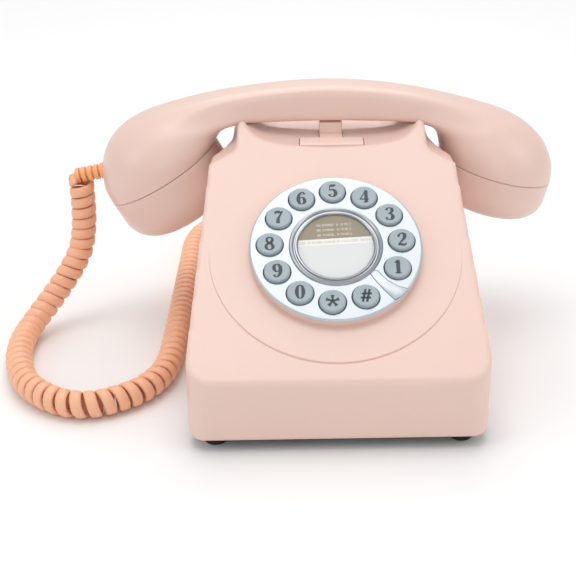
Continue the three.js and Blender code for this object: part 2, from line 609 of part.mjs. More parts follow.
function handleBar() {
  const under = [[-endX(37), 95], [-endX(60), HANDLE_BOTTOM - 12], [-endX(65), HANDLE_BOTTOM - 5],
    [-endX(71), HANDLE_BOTTOM]];
  const outline = [...under, ...under.map(([x, z]) => [-x, z]).reverse(), ...handleArc(0, endX(19), 12)];
  const chamfer = 3.5;
  const bar = endwise(outline, HANDLE_Y);
  const edges = sidewise([
    [HANDLE_Y[0] + 2, 0], [HANDLE_Y[1] - 2, 0], [HANDLE_Y[1], HANDLE_BOTTOM + 3],
    [HANDLE_Y[1], HANDLE_TOP - chamfer], [HANDLE_Y[1] - chamfer, HANDLE_TOP + 1],
    [HANDLE_Y[0] + chamfer, HANDLE_TOP + 1], [HANDLE_Y[0], HANDLE_TOP - chamfer],
    [HANDLE_Y[0], HANDLE_BOTTOM + 3],
  ]);
  return bar.intersect(edges);
}

function handleChannel() {
  const low = HANDLE_BOTTOM + 5;
  const outline = [[-endX(38), low - 13], [-endX(37), low - 19], [-endX(68), low], [endX(68), low],
    [endX(37), low - 19], [endX(38), low - 13], ...handleArc(5, endX(66), 4)];
  return endwise(outline, [HANDSET_Y - 7, HANDSET_Y + 7]);
}

const relief = (() => {
  const start = new THREE.Vector3(RELIEF_START[0], HANDSET_Y, RELIEF_START[1]);
  const end = new THREE.Vector3(RELIEF_END[0], HANDSET_Y, RELIEF_END[1]);
  const turn = new THREE.Quaternion().setFromUnitVectors(
    new THREE.Vector3(0, 0, 1), end.clone().sub(start).normalize());
  const matrix = new THREE.Matrix4().compose(start, turn, new THREE.Vector3(1, 1, 1));
  return { matrix, length: start.distanceTo(end) };
})();

function handleShell() {
  const pods = dome(MOUTH, 0, 0, 28, 7).add(dome(EAR, 0, 0, 28, 7));
  const hollows = dome(MOUTH, POD_WALL, -1, 18, 4).add(dome(EAR, POD_WALL, -1, 18, 4)).add(handleChannel());
  const exit = turned([[0, -6], [RELIEF_RADIUS + GAP, -6], [RELIEF_RADIUS + GAP, 12], [0, 12]], 16,
    relief.matrix);
  return pods.add(handleBar()).subtract(hollows).subtract(exit);
}

/** Screwed cap of one end, hollow, with a ring of sound holes in its flat face. */
function cap(end) {
  const depth = end.cap;
  const wall = POD_WALL - 0.3;
  const corner = (shrink, steps) => Array.from({ length: steps + 1 }, (_, i) => {
    const angle = (i / steps) * (Math.PI / 2);
    const radius = end.round - shrink;
    return [POD_RADIUS - end.round + radius * Math.sin(angle), -depth + end.round - radius * Math.cos(angle)];
  });
  const profile = [[0, -depth], ...corner(0, 4), [POD_RADIUS, -GAP], [POD_RADIUS - wall, -GAP],
    ...corner(wall, 2).reverse(), [0, -depth + wall]];
  let shape = turned(profile, 28);
  const holes = [[0, 0], ...Array.from({ length: 6 }, (_, i) => polar(9, i * 60))];
  holes.forEach((place) => {
    shape = shape.subtract(disc(1.4, [-depth - 1, -depth + wall + 1], place, 6));
  });
  return shape.transform(podMatrix(end).toArray());
}

const inPod = (end, shape) => shape.transform(podMatrix(end).toArray());

function strainRelief() {
  const flex = relief.length - 8;
  const profile = [[0, 0], [RELIEF_RADIUS, 0], [RELIEF_RADIUS, 6.6]];
  for (let i = 0; i < 4; i += 1) {
    const z = 8 + (flex / 4) * i;
    const radius = RELIEF_RADIUS - 0.15 * i;
    profile.push([radius - 1, z - 0.6], [radius - 1, z + 0.5], [radius, z + 0.9], [radius, z + flex / 4 - 1]);
  }
  profile.push([0, relief.length]);
  profile[profile.length - 2] = [RELIEF_RADIUS - 0.6, relief.length];
  return turned(profile, 10, relief.matrix);
}

function handsetGroup() {
  const group = new THREE.Group();
  const earLow = -EAR.cap + POD_WALL + GAP;
  const mouthLow = -MOUTH.cap + POD_WALL + GAP;
  const weight = box([-30, 30], [HANDSET_Y - 6, HANDSET_Y + 6], [HANDLE_BOTTOM + 5.4, HANDLE_BOTTOM + 11]);
  group.add(
    mesh('handle_shell', handleShell(), PINK),
    mesh(EAR.name, cap(EAR), PINK),
    mesh(MOUTH.name, cap(MOUTH), PINK),
    mesh('receiver_capsule', inPod(EAR, disc(19, [earLow, earLow + 10])), STEEL),
    mesh('microphone_capsule', inPod(MOUTH, disc(12, [mouthLow, mouthLow + 7], [0, 0], 24)), BLACK_PLASTIC),
    mesh('handle_weight', weight, STEEL),
    mesh('strain_relief', strainRelief(), ORANGE),
  );
  return group;
}

// ---------------------------------------------------------------- cord

/** Round tube along a route of points. */
function tube(route, radius, steps, sides) {
  const curve = new THREE.CatmullRomCurve3(route.map((p) => new THREE.Vector3(...p)));
  const section = new THREE.Shape();
  section.absarc(0, 0, radius, 0, Math.PI * 2);
  const points = section.getSpacedPoints(sides).slice(0, sides);
  return solid(new THREE.ExtrudeGeometry(new THREE.Shape(points), { steps, extrudePath: curve }));
}

function cordGroup() {
  const group = new THREE.Group();
  const [, depth] = JACK.pocket;
  const plug = box([-JACK.x - 3.7, -JACK.x + 3.7], [HALF_DEPTH - depth + GAP, HALF_DEPTH + 14.6],
    [JACK.z - 3.2, JACK.z + 3.2]);
  group.add(
    mesh('curly_cord', tube(CORD_ROUTE, CORD_RADIUS, 40, 8), SALMON),
    mesh('cord_tail', tube(TAIL_ROUTE, TAIL_RADIUS, 7, 8), SALMON),
    mesh('cord_plug', plug, CLEAR),
  );
  return group;
}

// ---------------------------------------------------------------- assembly

const telephone = new THREE.Group();
telephone.add(
  mesh('upper_case', upperCase(), PINK),
  mesh('base_plate', basePlate(), BLACK_PLASTIC),
  ...FEET.map((place, i) => mesh(`foot_${i + 1}`, foot(place), RUBBER)),
  ...BOSSES.map((place, i) => mesh(`base_screw_${i + 1}`, screw(place, CASE_BOTTOM - GAP, 17), STEEL)),
  dialGroup(), hookGroup(), insideGroup(), backGroup(), handsetGroup(), cordGroup(),
);

export default telephone;
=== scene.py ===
"""Desk telephone with push keys set out in a ring, a handset across its back and a curly cord.

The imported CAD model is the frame: a piece made here stands where its CAD node stands, and rides on that
node's body. Metres, +Z up, -Y towards the person dialling.
"""

import json
import logging
from collections.abc import Iterator, Sequence
from contextlib import contextmanager
from dataclasses import dataclass, field
from enum import Enum
from math import acos, cos, hypot, pi, radians, sin, tau
from typing import Any

import bpy
from mathutils import Matrix, Vector


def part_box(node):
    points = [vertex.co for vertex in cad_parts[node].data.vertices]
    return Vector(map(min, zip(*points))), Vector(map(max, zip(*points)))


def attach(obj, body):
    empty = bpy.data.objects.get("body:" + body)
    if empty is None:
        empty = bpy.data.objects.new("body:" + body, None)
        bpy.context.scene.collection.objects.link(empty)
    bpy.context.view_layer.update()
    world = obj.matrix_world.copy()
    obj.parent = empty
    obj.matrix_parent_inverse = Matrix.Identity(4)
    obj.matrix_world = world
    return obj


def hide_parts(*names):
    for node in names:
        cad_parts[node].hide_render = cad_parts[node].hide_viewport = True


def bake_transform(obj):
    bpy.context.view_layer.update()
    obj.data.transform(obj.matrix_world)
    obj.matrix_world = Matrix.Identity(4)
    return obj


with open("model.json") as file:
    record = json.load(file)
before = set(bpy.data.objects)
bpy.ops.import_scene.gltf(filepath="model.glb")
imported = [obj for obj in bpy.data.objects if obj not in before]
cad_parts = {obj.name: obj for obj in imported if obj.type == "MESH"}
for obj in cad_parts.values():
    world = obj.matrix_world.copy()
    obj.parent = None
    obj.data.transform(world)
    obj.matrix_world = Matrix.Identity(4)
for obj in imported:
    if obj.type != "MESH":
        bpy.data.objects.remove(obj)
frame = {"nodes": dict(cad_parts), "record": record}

Pair = tuple[float, float]
Outline = list[Pair]
Colour = tuple[float, float, float]
Piece = bpy.types.Object

LOG = logging.getLogger("telephone")
MM = 0.001
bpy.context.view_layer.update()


# ---------------------------------------------------------------- outlines

def offset(points: Outline, distance: float) -> Outline:
    """Moves each edge of a closed outline inwards.

    Args:
        points: Corners, anticlockwise.
        distance: How far each edge moves to its left.

    Returns:
        As many corners, in the same order.
    """
    lines = []
    for (x, y), (nx, ny) in zip(points, points[1:] + points[:1]):
        length = hypot(nx - x, ny - y)
        dx, dy = (nx - x) / length, (ny - y) / length
        lines.append((x - dy * distance, y + dx * distance, dx, dy))
    corners = []
    for (lx, ly, ldx, ldy), (x, y, dx, dy) in zip(lines[-1:] + lines[:-1], lines):
        along = ((x - lx) * dy - (y - ly) * dx) / (ldx * dy - ldy * dx)
        corners.append((lx + ldx * along, ly + ldy * along))
    return corners


def rounded(points: Outline, radii: float | Sequence[float], steps: int = 6) -> Outline:
    """Rounds the corners of a closed outline.

    Args:
        points: Its corners.
        radii: One radius for all corners, or one for each. A corner of 0 stays sharp.
        steps: How many pieces each arc has.

    Returns:
        The outline with its arcs.
    """
    sizes = [radii] * len(points) if isinstance(radii, (int, float)) else radii
    result: Outline = []
    for i, (corner, radius) in enumerate(zip(points, sizes)):
        if radius == 0:
            result.append(corner)
            continue
        centre = Vector(corner)
        back = (Vector(points[i - 1]) - centre).normalized()
        ahead = (Vector(points[(i + 1) % len(points)]) - centre).normalized()
        half = acos(max(-1.0, min(1.0, back.dot(ahead)))) / 2
        hub = centre + (back + ahead).normalized() * (radius / sin(half))
        start = centre + back * (radius * cos(half) / sin(half)) - hub
        turn = (pi - 2 * half) * (1 if back.x * ahead.y - back.y * ahead.x < 0 else -1)
        for step in range(steps + 1):
            spot = hub + Matrix.Rotation(turn * step / steps, 2) @ start
            result.append((spot.x, spot.y))
    return result


def arc(centre: Pair, radius: float, start: float, end: float, steps: int = 8) -> Outline:
    """Points of an arc, from start to end in degrees, both included."""
    angles = [radians(start + (end - start) * i / steps) for i in range(steps + 1)]
    return [(centre[0] + radius * cos(a), centre[1] + radius * sin(a)) for a in angles]


def mirrored(half: Outline) -> Outline:
    """Closes an outline given by its right half, from the bottom up, with its mirror image."""
    return half + [(-x, z) for x, z in reversed(half)]


def spline(points: Sequence[Sequence[float]], steps: int) -> list[tuple[float, ...]]:
    """Smooth curve through rows of numbers.

    Args:
        points: Rows to pass through, each of as many numbers.
        steps: Pieces between one row and the next.

    Returns:
        The rows of the curve, the given ones among them.
    """
    rows = [points[0], *points, points[-1]]
    curve = []
    for before, start, end, after in zip(rows, rows[1:], rows[2:], rows[3:]):
        for step in range(steps):
            t = step / steps
            weights = (-t + 2 * t * t - t ** 3, 2 - 5 * t * t + 3 * t ** 3,
                       t + 4 * t * t - 3 * t ** 3, -t * t + t ** 3)
            curve.append(tuple(
                sum(w * v for w, v in zip(weights, four)) / 2 for four in zip(before, start, end, after)))
    curve.append(tuple(points[-1]))
    return curve


# ---------------------------------------------------------------- modelling

class Along(Enum):
    """Axis that an outline is pushed along."""

    X = 0
    Y = 1
    Z = 2

    def place(self, u: float, v: float, w: float) -> Vector:
        """Point of an outline's (u, v) at height w on this axis."""
        return Vector({Along.X: (w, u, v), Along.Y: (u, w, v), Along.Z: (u, v, w)}[self])


class Cut(Enum):
    """What a boolean does with its tool."""

    AWAY = "DIFFERENCE"
    JOIN = "UNION"
    SHARED = "INTERSECT"


class Bench:
    """Blender's modelling operators, each used on one piece at a time."""

    @staticmethod
    def alone(piece: Piece) -> None:
        """Selects one piece and nothing else."""
        bpy.ops.object.select_all(action="DESELECT")
        piece.select_set(True)
        bpy.context.view_layer.objects.active = piece

    @staticmethod
    @contextmanager
    def editing(piece: Piece, mode: str = "VERT") -> Iterator[None]:
        """Edit mode on one piece, with all of it selected.

        Args:
            piece: The piece to edit.
            mode: VERT, EDGE or FACE.

        Returns:
            Nothing, while the piece is open for editing.
        """
        Bench.alone(piece)
        bpy.ops.object.mode_set(mode="EDIT")
        bpy.ops.mesh.select_mode(type=mode)
        bpy.ops.mesh.select_all(action="SELECT")
        yield
        bpy.ops.object.mode_set(mode="OBJECT")

    @staticmethod
    def new(name: str) -> Piece:
        """Names the primitive that was just added."""
        piece = bpy.context.object
        piece.name = piece.data.name = name
        return piece

    @staticmethod
    def loop(name: str, points: Sequence[Vector], filled: bool = True) -> Piece:
        """Closed loop of corners, from a circle primitive, with a face in it if filled.

        Args:
            name: Its name.
            points: The corners, in order.
            filled: Whether a face closes it.

        Returns:
            The loop.
        """
        bpy.ops.object.select_all(action="DESELECT")
        bpy.ops.mesh.primitive_circle_add(
            vertices=len(points), fill_type="NGON" if filled else "NOTHING", location=(0, 0, 0))
        piece = Bench.new(name)
        piece.data.vertices.foreach_set("co", [c for point in points for c in point])
        return piece

    @staticmethod
    def pushed(name: str, outline: Outline, along: Along, low: float, high: float) -> Piece:
        """Solid made by extruding an outline.

        Args:
            name: The piece's name.
            outline: Corners in the plane across the axis.
            along: The axis.
            low: Where the solid starts on it.
            high: Where it ends.

        Returns:
            The closed solid.
        """
        piece = Bench.loop(name, [along.place(u, v, low) for u, v in outline])
        with Bench.editing(piece, "FACE"):
            bpy.ops.mesh.extrude_region_move(
                TRANSFORM_OT_translate={"value": along.place(0, 0, high - low)})
            bpy.ops.mesh.select_all(action="SELECT")
            bpy.ops.mesh.normals_make_consistent(inside=False)
        return piece

    @staticmethod
    def block(name: str, x: Pair, y: Pair, z: Pair) -> Piece:
        """Box between two values on each axis."""
        return Bench.pushed(name, [(x[0], y[0]), (x[1], y[0]), (x[1], y[1]), (x[0], y[1])], Along.Z, *z)

    @staticmethod
    def turned(name: str, profile: Outline, steps: int = 64, closed: bool = False) -> Piece:
        """Solid made by spinning a profile about the Z axis.

        Args:
            name: The piece's name.
            profile: (radius, height) corners. It starts and ends on the axis unless it is closed.
            steps: Faces round the axis.
            closed: Whether the last corner joins the first.

        Returns:
            The closed solid.
        """
        piece = Bench.loop(name, [Vector((r, 0, z)) for r, z in profile], filled=False)
        last = len(profile) - 1
        if not closed:
            with Bench.editing(piece, "EDGE"):
                bpy.ops.mesh.select_all(action="DESELECT")
            for edge in piece.data.edges:
                edge.select = set(edge.vertices) == {0, last}
            Bench.alone(piece)
            bpy.ops.object.mode_set(mode="EDIT")
            bpy.ops.mesh.delete(type="EDGE")
            bpy.ops.object.mode_set(mode="OBJECT")
        with Bench.editing(piece):
            bpy.ops.mesh.spin(steps=steps, dupli=False, angle=tau, center=(0, 0, 0), axis=(0, 0, 1))
            bpy.ops.mesh.select_all(action="SELECT")
            bpy.ops.mesh.remove_doubles(threshold=1e-6)
            bpy.ops.mesh.normals_make_consistent(inside=False)
        return piece

    @staticmethod
    def draped(name: str, rows: Sequence[Sequence[Vector]], wrapped: bool, filled: bool = False) -> Piece:
        """Surface over rows of points, from a grid primitive, which keeps the grid's UV map.

        Args:
            name: The piece's name.
            rows: Rows of as many points.
            wrapped: Whether each row closes on itself, as a tube's does.
            filled: Whether the two ends get a face.

        Returns:
            The surface.
        """
        across = len(rows[0]) + (1 if wrapped else 0)
        bpy.ops.object.select_all(action="DESELECT")
        bpy.ops.mesh.primitive_grid_add(
            x_subdivisions=across - 1, y_subdivisions=len(rows) - 1, location=(0, 0, 0))
        piece = Bench.new(name)
        spots = [row[i % len(row)] for row in rows for i in range(across)]
        piece.data.vertices.foreach_set("co", [c for spot in spots for c in spot])
        with Bench.editing(piece):
            if wrapped:
                bpy.ops.mesh.remove_doubles(threshold=1e-7)
            if filled:
                bpy.ops.mesh.select_all(action="DESELECT")
                bpy.ops.mesh.select_non_manifold()
                bpy.ops.mesh.fill_holes(sides=0)
            bpy.ops.mesh.select_all(action="SELECT")
            bpy.ops.mesh.normals_make_consistent(inside=False)
        return piece

    @staticmethod
    def modified(piece: Piece, kind: str, **settings: Any) -> Piece:
        """Adds a modifier with its settings, and applies it.

        Args:
            piece: The piece to work on.
            kind: The modifier's type.
            settings: The modifier's own properties.

        Returns:
            The same piece.
        """
        Bench.alone(piece)
        modifier = piece.modifiers.new(kind, kind)
        for name, value in settings.items():
            setattr(modifier, name, value)
        bpy.ops.object.modifier_apply(modifier=modifier.name)
        return piece

    @staticmethod
    def combined(piece: Piece, *tools: Piece, cut: Cut = Cut.AWAY, solver: str = "MANIFOLD") -> Piece:
        """Cuts, joins or intersects a piece with tools, which are used up.

        Args:
            piece: The piece to work on.
            tools: The pieces to cut, join or intersect with.
            cut: Which of the three is done.
            solver: The boolean solver.

        Returns:
            The first piece, changed.
        """
        for tool in tools:
            Bench.modified(piece, "BOOLEAN", operation=cut.value, solver=solver, object=tool)
            bpy.data.objects.remove(tool, do_unlink=True)
        return piece

    @staticmethod
    def placed(piece: Piece, matrix: Matrix) -> Piece:
        """Moves a piece, and puts the move into its mesh.

        Args:
            piece: The piece to work on.
            matrix: The move.

        Returns:
            The same piece.
        """
        Bench.alone(piece)
        piece.matrix_world = matrix
        bpy.ops.object.transform_apply(location=True, rotation=True, scale=True)
        return piece

    @staticmethod
    def copied(piece: Piece, name: str, matrix: Matrix) -> Piece:
        """Copy of a piece with its own mesh, moved."""
        Bench.alone(piece)
        bpy.ops.object.duplicate(linked=False)
        return Bench.placed(Bench.new(name), matrix)

    @staticmethod
    def joined(name: str, pieces: Sequence[Piece]) -> Piece:
        """Joins pieces that stay separate solids into one object.

        Args:
            name: Its name.
            pieces: The pieces to join.

        Returns:
            The joined piece.
        """
        Bench.alone(pieces[0])
        for piece in pieces:
            piece.select_set(True)
        bpy.ops.object.join()
        return Bench.new(name)

    @staticmethod
    def bevelled(piece: Piece, width: float, segments: int = 3, angle: float = 30) -> Piece:
        """Rounds the edges that turn by more than an angle."""
        return Bench.modified(
            piece, "BEVEL", width=width, segments=segments, limit_method="ANGLE",
            angle_limit=radians(angle), harden_normals=False)

    @staticmethod
    def softened(piece: Piece, voxel: float, rounds: int) -> Piece:
        """Melts all edges into fillets, by an even remesh and smoothing."""
        Bench.modified(piece, "REMESH", mode="VOXEL", voxel_size=voxel, use_smooth_shade=True)
        return Bench.modified(piece, "SMOOTH", factor=0.5, iterations=rounds)

    @staticmethod
    def smooth(piece: Piece, angle: float = 35) -> Piece:
        """Shades smooth across edges that turn by less than an angle."""
        Bench.alone(piece)
        bpy.ops.object.shade_smooth_by_angle(angle=radians(angle))
        return piece


# ---------------------------------------------------------------- finishes

def srgb(red: float, green: float, blue: float) -> Colour:
    """Linear colour of display values from 0 to 255."""
    shares = [value / 255 for value in (red, green, blue)]
    return tuple(s / 12.92 if s <= 0.04045 else ((s + 0.055) / 1.055) ** 2.4 for s in shares)


class Value:
    """Output of a shader node, on which arithmetic adds Math nodes."""

    def __init__(self, paint: "Paint", socket: bpy.types.NodeSocket) -> None:
        """Wraps a socket of a paint's node tree."""
        self.paint = paint
        self.socket = socket

    def maths(self, operation: str, *others: "Value | float") -> "Value":
        """Math node of an operation on this value and others."""
        return self.paint.node("ShaderNodeMath", {"operation": operation}, dict(enumerate((self, *others))))

    def __add__(self, other: "Value | float") -> "Value":
        """Sum."""
        return self.maths("ADD", other)

    def __sub__(self, other: "Value | float") -> "Value":
        """Difference."""
        return self.maths("SUBTRACT", other)

    def __mul__(self, other: "Value | float") -> "Value":
        """Product."""
        return self.maths("MULTIPLY", other)

    def __truediv__(self, other: "Value | float") -> "Value":
        """Quotient."""
        return self.maths("DIVIDE", other)

    def __rsub__(self, other: float) -> "Value":
        """Difference from a number."""
        return self.maths("MULTIPLY", -1.0) + other

    __radd__ = __add__
    __rmul__ = __mul__

    def above(self, edge: float, soft: float = 0.0) -> "Value":
        """1 above an edge and 0 below it, with a soft step if asked.

        Args:
            edge: Value at which the step stands.
            soft: Width of the step, 0 for a hard one.

        Returns:
            The step, 0 to 1.
        """
        if soft == 0:
            return self.maths("GREATER_THAN", edge)
        inputs = {"Value": self, "From Min": edge - soft, "From Max": edge + soft}
        return self.paint.node("ShaderNodeMapRange", {"interpolation_type": "SMOOTHSTEP"}, inputs)


class Paint:
    """Node tree of one material."""

    def __init__(self, name: str) -> None:
        """Starts a material with its principled shader.

        Args:
            name: Its name.
        """
        self.material = bpy.data.materials.new(name)
        self.material.use_nodes = True
        self.tree = self.material.node_tree
        self.shader = self.tree.nodes["Principled BSDF"]

    def node(self, kind: str, settings: dict[str, Any] | None = None,
             inputs: dict[str | int, Any] | None = None, output: str | int = 0) -> Value:
        """Adds a node.

        Args:
            kind: Its type.
            settings: Its properties, which are set first. "stops" holds a ramp's (place, colour) pairs.
            inputs: Values or links, by the name or number of the input.
            output: The output to return.

        Returns:
            That output.
        """
        node = self.tree.nodes.new(kind)
        for name, value in (settings or {}).items():
            if name == "stops":
                ramp = node.color_ramp
                while len(ramp.elements) < len(value):
                    ramp.elements.new(1.0)
                for element, (place, colour) in zip(ramp.elements, value):
                    element.position = place
                    element.color = (*colour, 1)
            else:
                setattr(node, name, value)
        for name, value in (inputs or {}).items():
            self.feed(node.inputs[name], value)
        return Value(self, node.outputs[output])

    def feed(self, socket: bpy.types.NodeSocket, value: Any) -> None:
        """Links an output to an input, or sets the input's own value.

        Args:
            socket: The input to feed.
            value: An output, a value or a plain number.
        """
        if isinstance(value, Value):
            self.tree.links.new(value.socket, socket)
        elif socket.type == "RGBA":
            socket.default_value = (*value[:3], 1)
        else:
            socket.default_value = value

    def place(self, matrix: Matrix | None = None) -> Value:
        """Object coordinates, in metres, or those in the frame that a matrix turns into the object's.

        Args:
            matrix: The frame, or None for the object's own.

        Returns:
            The coordinates.
        """
        spot = self.node("ShaderNodeTexCoord", output="Object")
        if matrix is None:
            return spot
        back = matrix.inverted()
        return self.node("ShaderNodeMapping", {}, {
            "Vector": spot, "Location": back.to_translation(), "Rotation": back.to_euler()})

    def noise(self, scale: float, detail: float = 2, rough: float = 0.5, spot: Value | None = None) -> Value:
        """Noise from 0 to 1, with scale in cells per metre."""
        return self.node("ShaderNodeTexNoise", {}, {
            "Vector": spot or self.place(), "Scale": scale, "Detail": detail, "Roughness": rough})

    def mix(self, share: Value | float, first: Any, second: Any) -> Value:
        """Colour that goes from the first to the second."""
        return self.node("ShaderNodeMix", {"data_type": "RGBA"}, {0: share, 6: first, 7: second}, 2)

    def tinted(self, colour: Colour, share: Value, spread: float) -> Value:
        """Colour that a pattern from 0 to 1 darkens and lightens by a spread."""
        low = tuple(max(0.0, c * (1 - spread)) for c in colour)
        high = tuple(min(1.0, c * (1 + spread)) for c in colour)
        return self.mix(share, low, high)

    def bump(self, height: Value, depth: float, strength: float = 1.0, normal: Value | None = None) -> Value:
        """Normal of a height pattern, with its depth in metres, over an earlier one.

        Args:
            height: The height pattern, 0 to 1.
            depth: How deep it is, in metres.
            strength: How much of it is used.
            normal: An earlier normal to lie over.

        Returns:
            The normal.
        """
        inputs = {"Height": height, "Distance": depth, "Strength": strength}
        if normal:
            inputs["Normal"] = normal
        return self.node("ShaderNodeBump", {}, inputs)

    def done(self, **sockets: Any) -> bpy.types.Material:
        """Sets the shader's sockets, whose names are written with underscores, and returns the material."""
        for name, value in sockets.items():
            self.feed(self.shader.inputs[name.replace("_", " ")], value)
        return self.material


@dataclass(frozen=True)
class Moulding:
    """Moulded plastic: faint waves of the tool, fine grain, slight drift of colour and gloss."""

    name: str
    colour: Colour
    roughness: float = 0.36
    coat: float = 0.12
    grain: float = 6e-6
    drift: float = 0.02
    scatter: float = 0.0

    def material(self) -> bpy.types.Material:
        """Builds the material.

        Returns:
            The material.
        """
        paint = Paint(self.name)
        flow = paint.noise(22, 3)
        waves = paint.noise(120, 2, 0.4)
        grain = paint.noise(2600, 2, 0.6)
        normal = paint.bump(waves, 2.5e-5, 0.35)
        return paint.done(
            Base_Color=paint.tinted(self.colour, flow, self.drift),
            Roughness=self.roughness + (waves - 0.5) * 0.06 + (grain - 0.5) * 0.08,
            Coat_Weight=self.coat, Coat_Roughness=0.18,
            Subsurface_Weight=self.scatter, Subsurface_Scale=0.002, Subsurface_Radius=(1.0, 0.55, 0.4),
            Normal=paint.bump(grain, self.grain, 0.5, normal))


@dataclass(frozen=True)
class Enamel:
    """Silver-white paint: a close flake under a satin film."""

    name: str
    colour: Colour
    roughness: float = 0.34
    metal: float = 0.35

    def material(self) -> bpy.types.Material:
        """Builds the material.

        Returns:
            The material.
        """
        paint = Paint(self.name)
        flake = paint.node("ShaderNodeTexVoronoi", {}, {"Vector": paint.place(), "Scale": 3200.0}, "Color")
        spark = paint.node("ShaderNodeSeparateColor", {}, {"Color": flake})
        film = paint.noise(160, 2)
        return paint.done(
            Base_Color=paint.tinted(self.colour, spark, 0.05),
            Metallic=self.metal + spark * 0.15,
            Roughness=self.roughness + (spark - 0.5) * 0.12,
            Coat_Weight=0.25, Coat_Roughness=0.12,
            Normal=paint.bump(film, 1.5e-5, 0.3))


@dataclass(frozen=True)
class Plating:
    """Bright metal, turned or drawn: fine lines along one direction, with a little haze."""

    name: str
    colour: Colour
    roughness: float = 0.18
    matrix: Matrix | None = None

    def material(self) -> bpy.types.Material:
        """Builds the material.

        Returns:
            The material.
        """
        paint = Paint(self.name)
        spot = paint.place(self.matrix)
        kind = {"wave_type": "RINGS", "rings_direction": "Z"} if self.matrix else {"wave_type": "BANDS"}
        lines = paint.node("ShaderNodeTexWave", kind, {
            "Vector": spot, "Scale": 900.0, "Distortion": 3.0, "Detail": 2.0}, "Fac")
        haze = paint.noise(180, 4, 0.6)
        return paint.done(
            Base_Color=paint.tinted(self.colour, haze, 0.06), Metallic=1.0,
            Roughness=self.roughness + lines * 0.06 + haze * 0.12,
            Normal=paint.bump(lines, 4e-6, 0.25))


@dataclass(frozen=True)
class Pliant:
    """Soft vinyl or rubber: dull skin with fine pores, and dust that has settled in a cloudy way."""

    name: str
    colour: Colour
    roughness: float = 0.5
    dust: Colour = (0.4, 0.4, 0.4)
    dusty: float = 0.0
    scatter: float = 0.0

    def material(self) -> bpy.types.Material:
        """Builds the material.

        Returns:
            The material.
        """
        paint = Paint(self.name)
        pores = paint.noise(3800, 2, 0.6)
        cloud = paint.noise(70, 4, 0.6)
        colour = paint.tinted(self.colour, cloud, 0.05)
        return paint.done(
            Base_Color=paint.mix(cloud.above(0.5, 0.3) * self.dusty, colour, self.dust),
            Roughness=self.roughness + (cloud - 0.5) * 0.14,
            Subsurface_Weight=self.scatter, Subsurface_Scale=0.0015, Subsurface_Radius=(1.0, 0.5, 0.3),
            Normal=paint.bump(pores, 1.2e-5, 0.4))


@dataclass(frozen=True)
class Laminate:
    """Circuit board: woven glass under green lacquer, with copper runs that lift it."""

    name: str
    colour: Colour

    def material(self) -> bpy.types.Material:
        """Builds the material.

        Returns:
            The material.
        """
        paint = Paint(self.name)
        spot = paint.place()
        runs = paint.node("ShaderNodeTexBrick", {"offset": 0.5, "squash": 1.0}, {
            "Vector": spot, "Scale": 180.0, "Mortar Size": 0.06, "Mortar Smooth": 0.1}, "Fac")
        weave = paint.noise(1500, 2)
        bright = tuple(min(1.0, c * 2.4) for c in self.colour)
        return paint.done(
            Base_Color=paint.mix(runs, self.colour, bright), Roughness=0.3 + weave * 0.15,
            Coat_Weight=0.4, Normal=paint.bump(runs + weave * 0.15, 3e-5, 0.5))


@dataclass(frozen=True)
class Glazing:
    """Clear plastic over something printed, thin enough not to bend what is behind it."""

    name: str
    colour: Colour
    alpha: float

    def material(self) -> bpy.types.Material:
        """Builds the material.

        Returns:
            The material.
        """
        paint = Paint(self.name)
        smears = paint.noise(90, 3)
        return paint.done(
            Base_Color=self.colour, Roughness=0.04 + smears * 0.08, IOR=1.49, Alpha=self.alpha,
            Coat_Weight=0.5, Coat_Roughness=0.03, Normal=paint.bump(smears, 1e-5, 0.2))


@dataclass(frozen=True)
class PrintedCard:
    """Number card: a gold upper part with faint rules, a white strip with marks, a plain lower part."""

    name: str
    matrix: Matrix
    gold: Colour = srgb(116, 92, 26)
    white: Colour = srgb(236, 234, 228)
    grey: Colour = srgb(218, 218, 218)
    strip: Pair = (1.1 * MM, 4.9 * MM)
    turn: float = 3.5

    def material(self) -> bpy.types.Material:
        """Builds the material.

        Returns:
            The material.
        """
        paint = Paint(self.name)
        spot = paint.place(self.matrix @ Matrix.Rotation(radians(self.turn), 4, "Z"))
        across = paint.node("ShaderNodeSeparateXYZ", {}, {"Vector": spot}, "X")
        up = paint.node("ShaderNodeSeparateXYZ", {}, {"Vector": spot}, "Y")
        low, high = self.strip
        fibre = paint.noise(900, 3)
        dashes = paint.noise(900, 1, 0.5, paint.node("ShaderNodeMapping", {}, {
            "Vector": spot, "Scale": (1.0, 0.02, 0.02)})).above(0.47)
        rows = ((up - high) / (2.9 * MM)).maths("FRACT").above(0.55)
        inside = (1 - across.maths("ABSOLUTE").above(8.5 * MM)) * (1 - up.above(high + 9 * MM))
        print_gold = rows * dashes * inside * 0.33
        marks = 1 - (up - (low + high) / 2).maths("ABSOLUTE").above(0.75 * MM)
        gold = paint.mix(print_gold, paint.tinted(self.gold, fibre, 0.06), self.white)
        strip = paint.mix(marks * dashes * 0.3, self.white, self.gold)
        line = up.above(low - 0.1 * MM) * (1 - up.above(low + 0.15 * MM))
        lower = paint.mix(line * 0.6, paint.tinted(self.grey, fibre, 0.01), self.gold)
        return paint.done(
            Base_Color=paint.mix(up.above(high), paint.mix(up.above(low), lower, strip), gold),
            Roughness=0.45 + fibre * 0.1, Metallic=up.above(high) * 0.25,
            Normal=paint.bump(fibre, 1e-5, 0.3))


# ---------------------------------------------------------------- frame

def middle(node: str) -> Vector:
    """Middle of a CAD node's box."""
    low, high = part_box(node)
    return (Vector(low) + Vector(high)) / 2


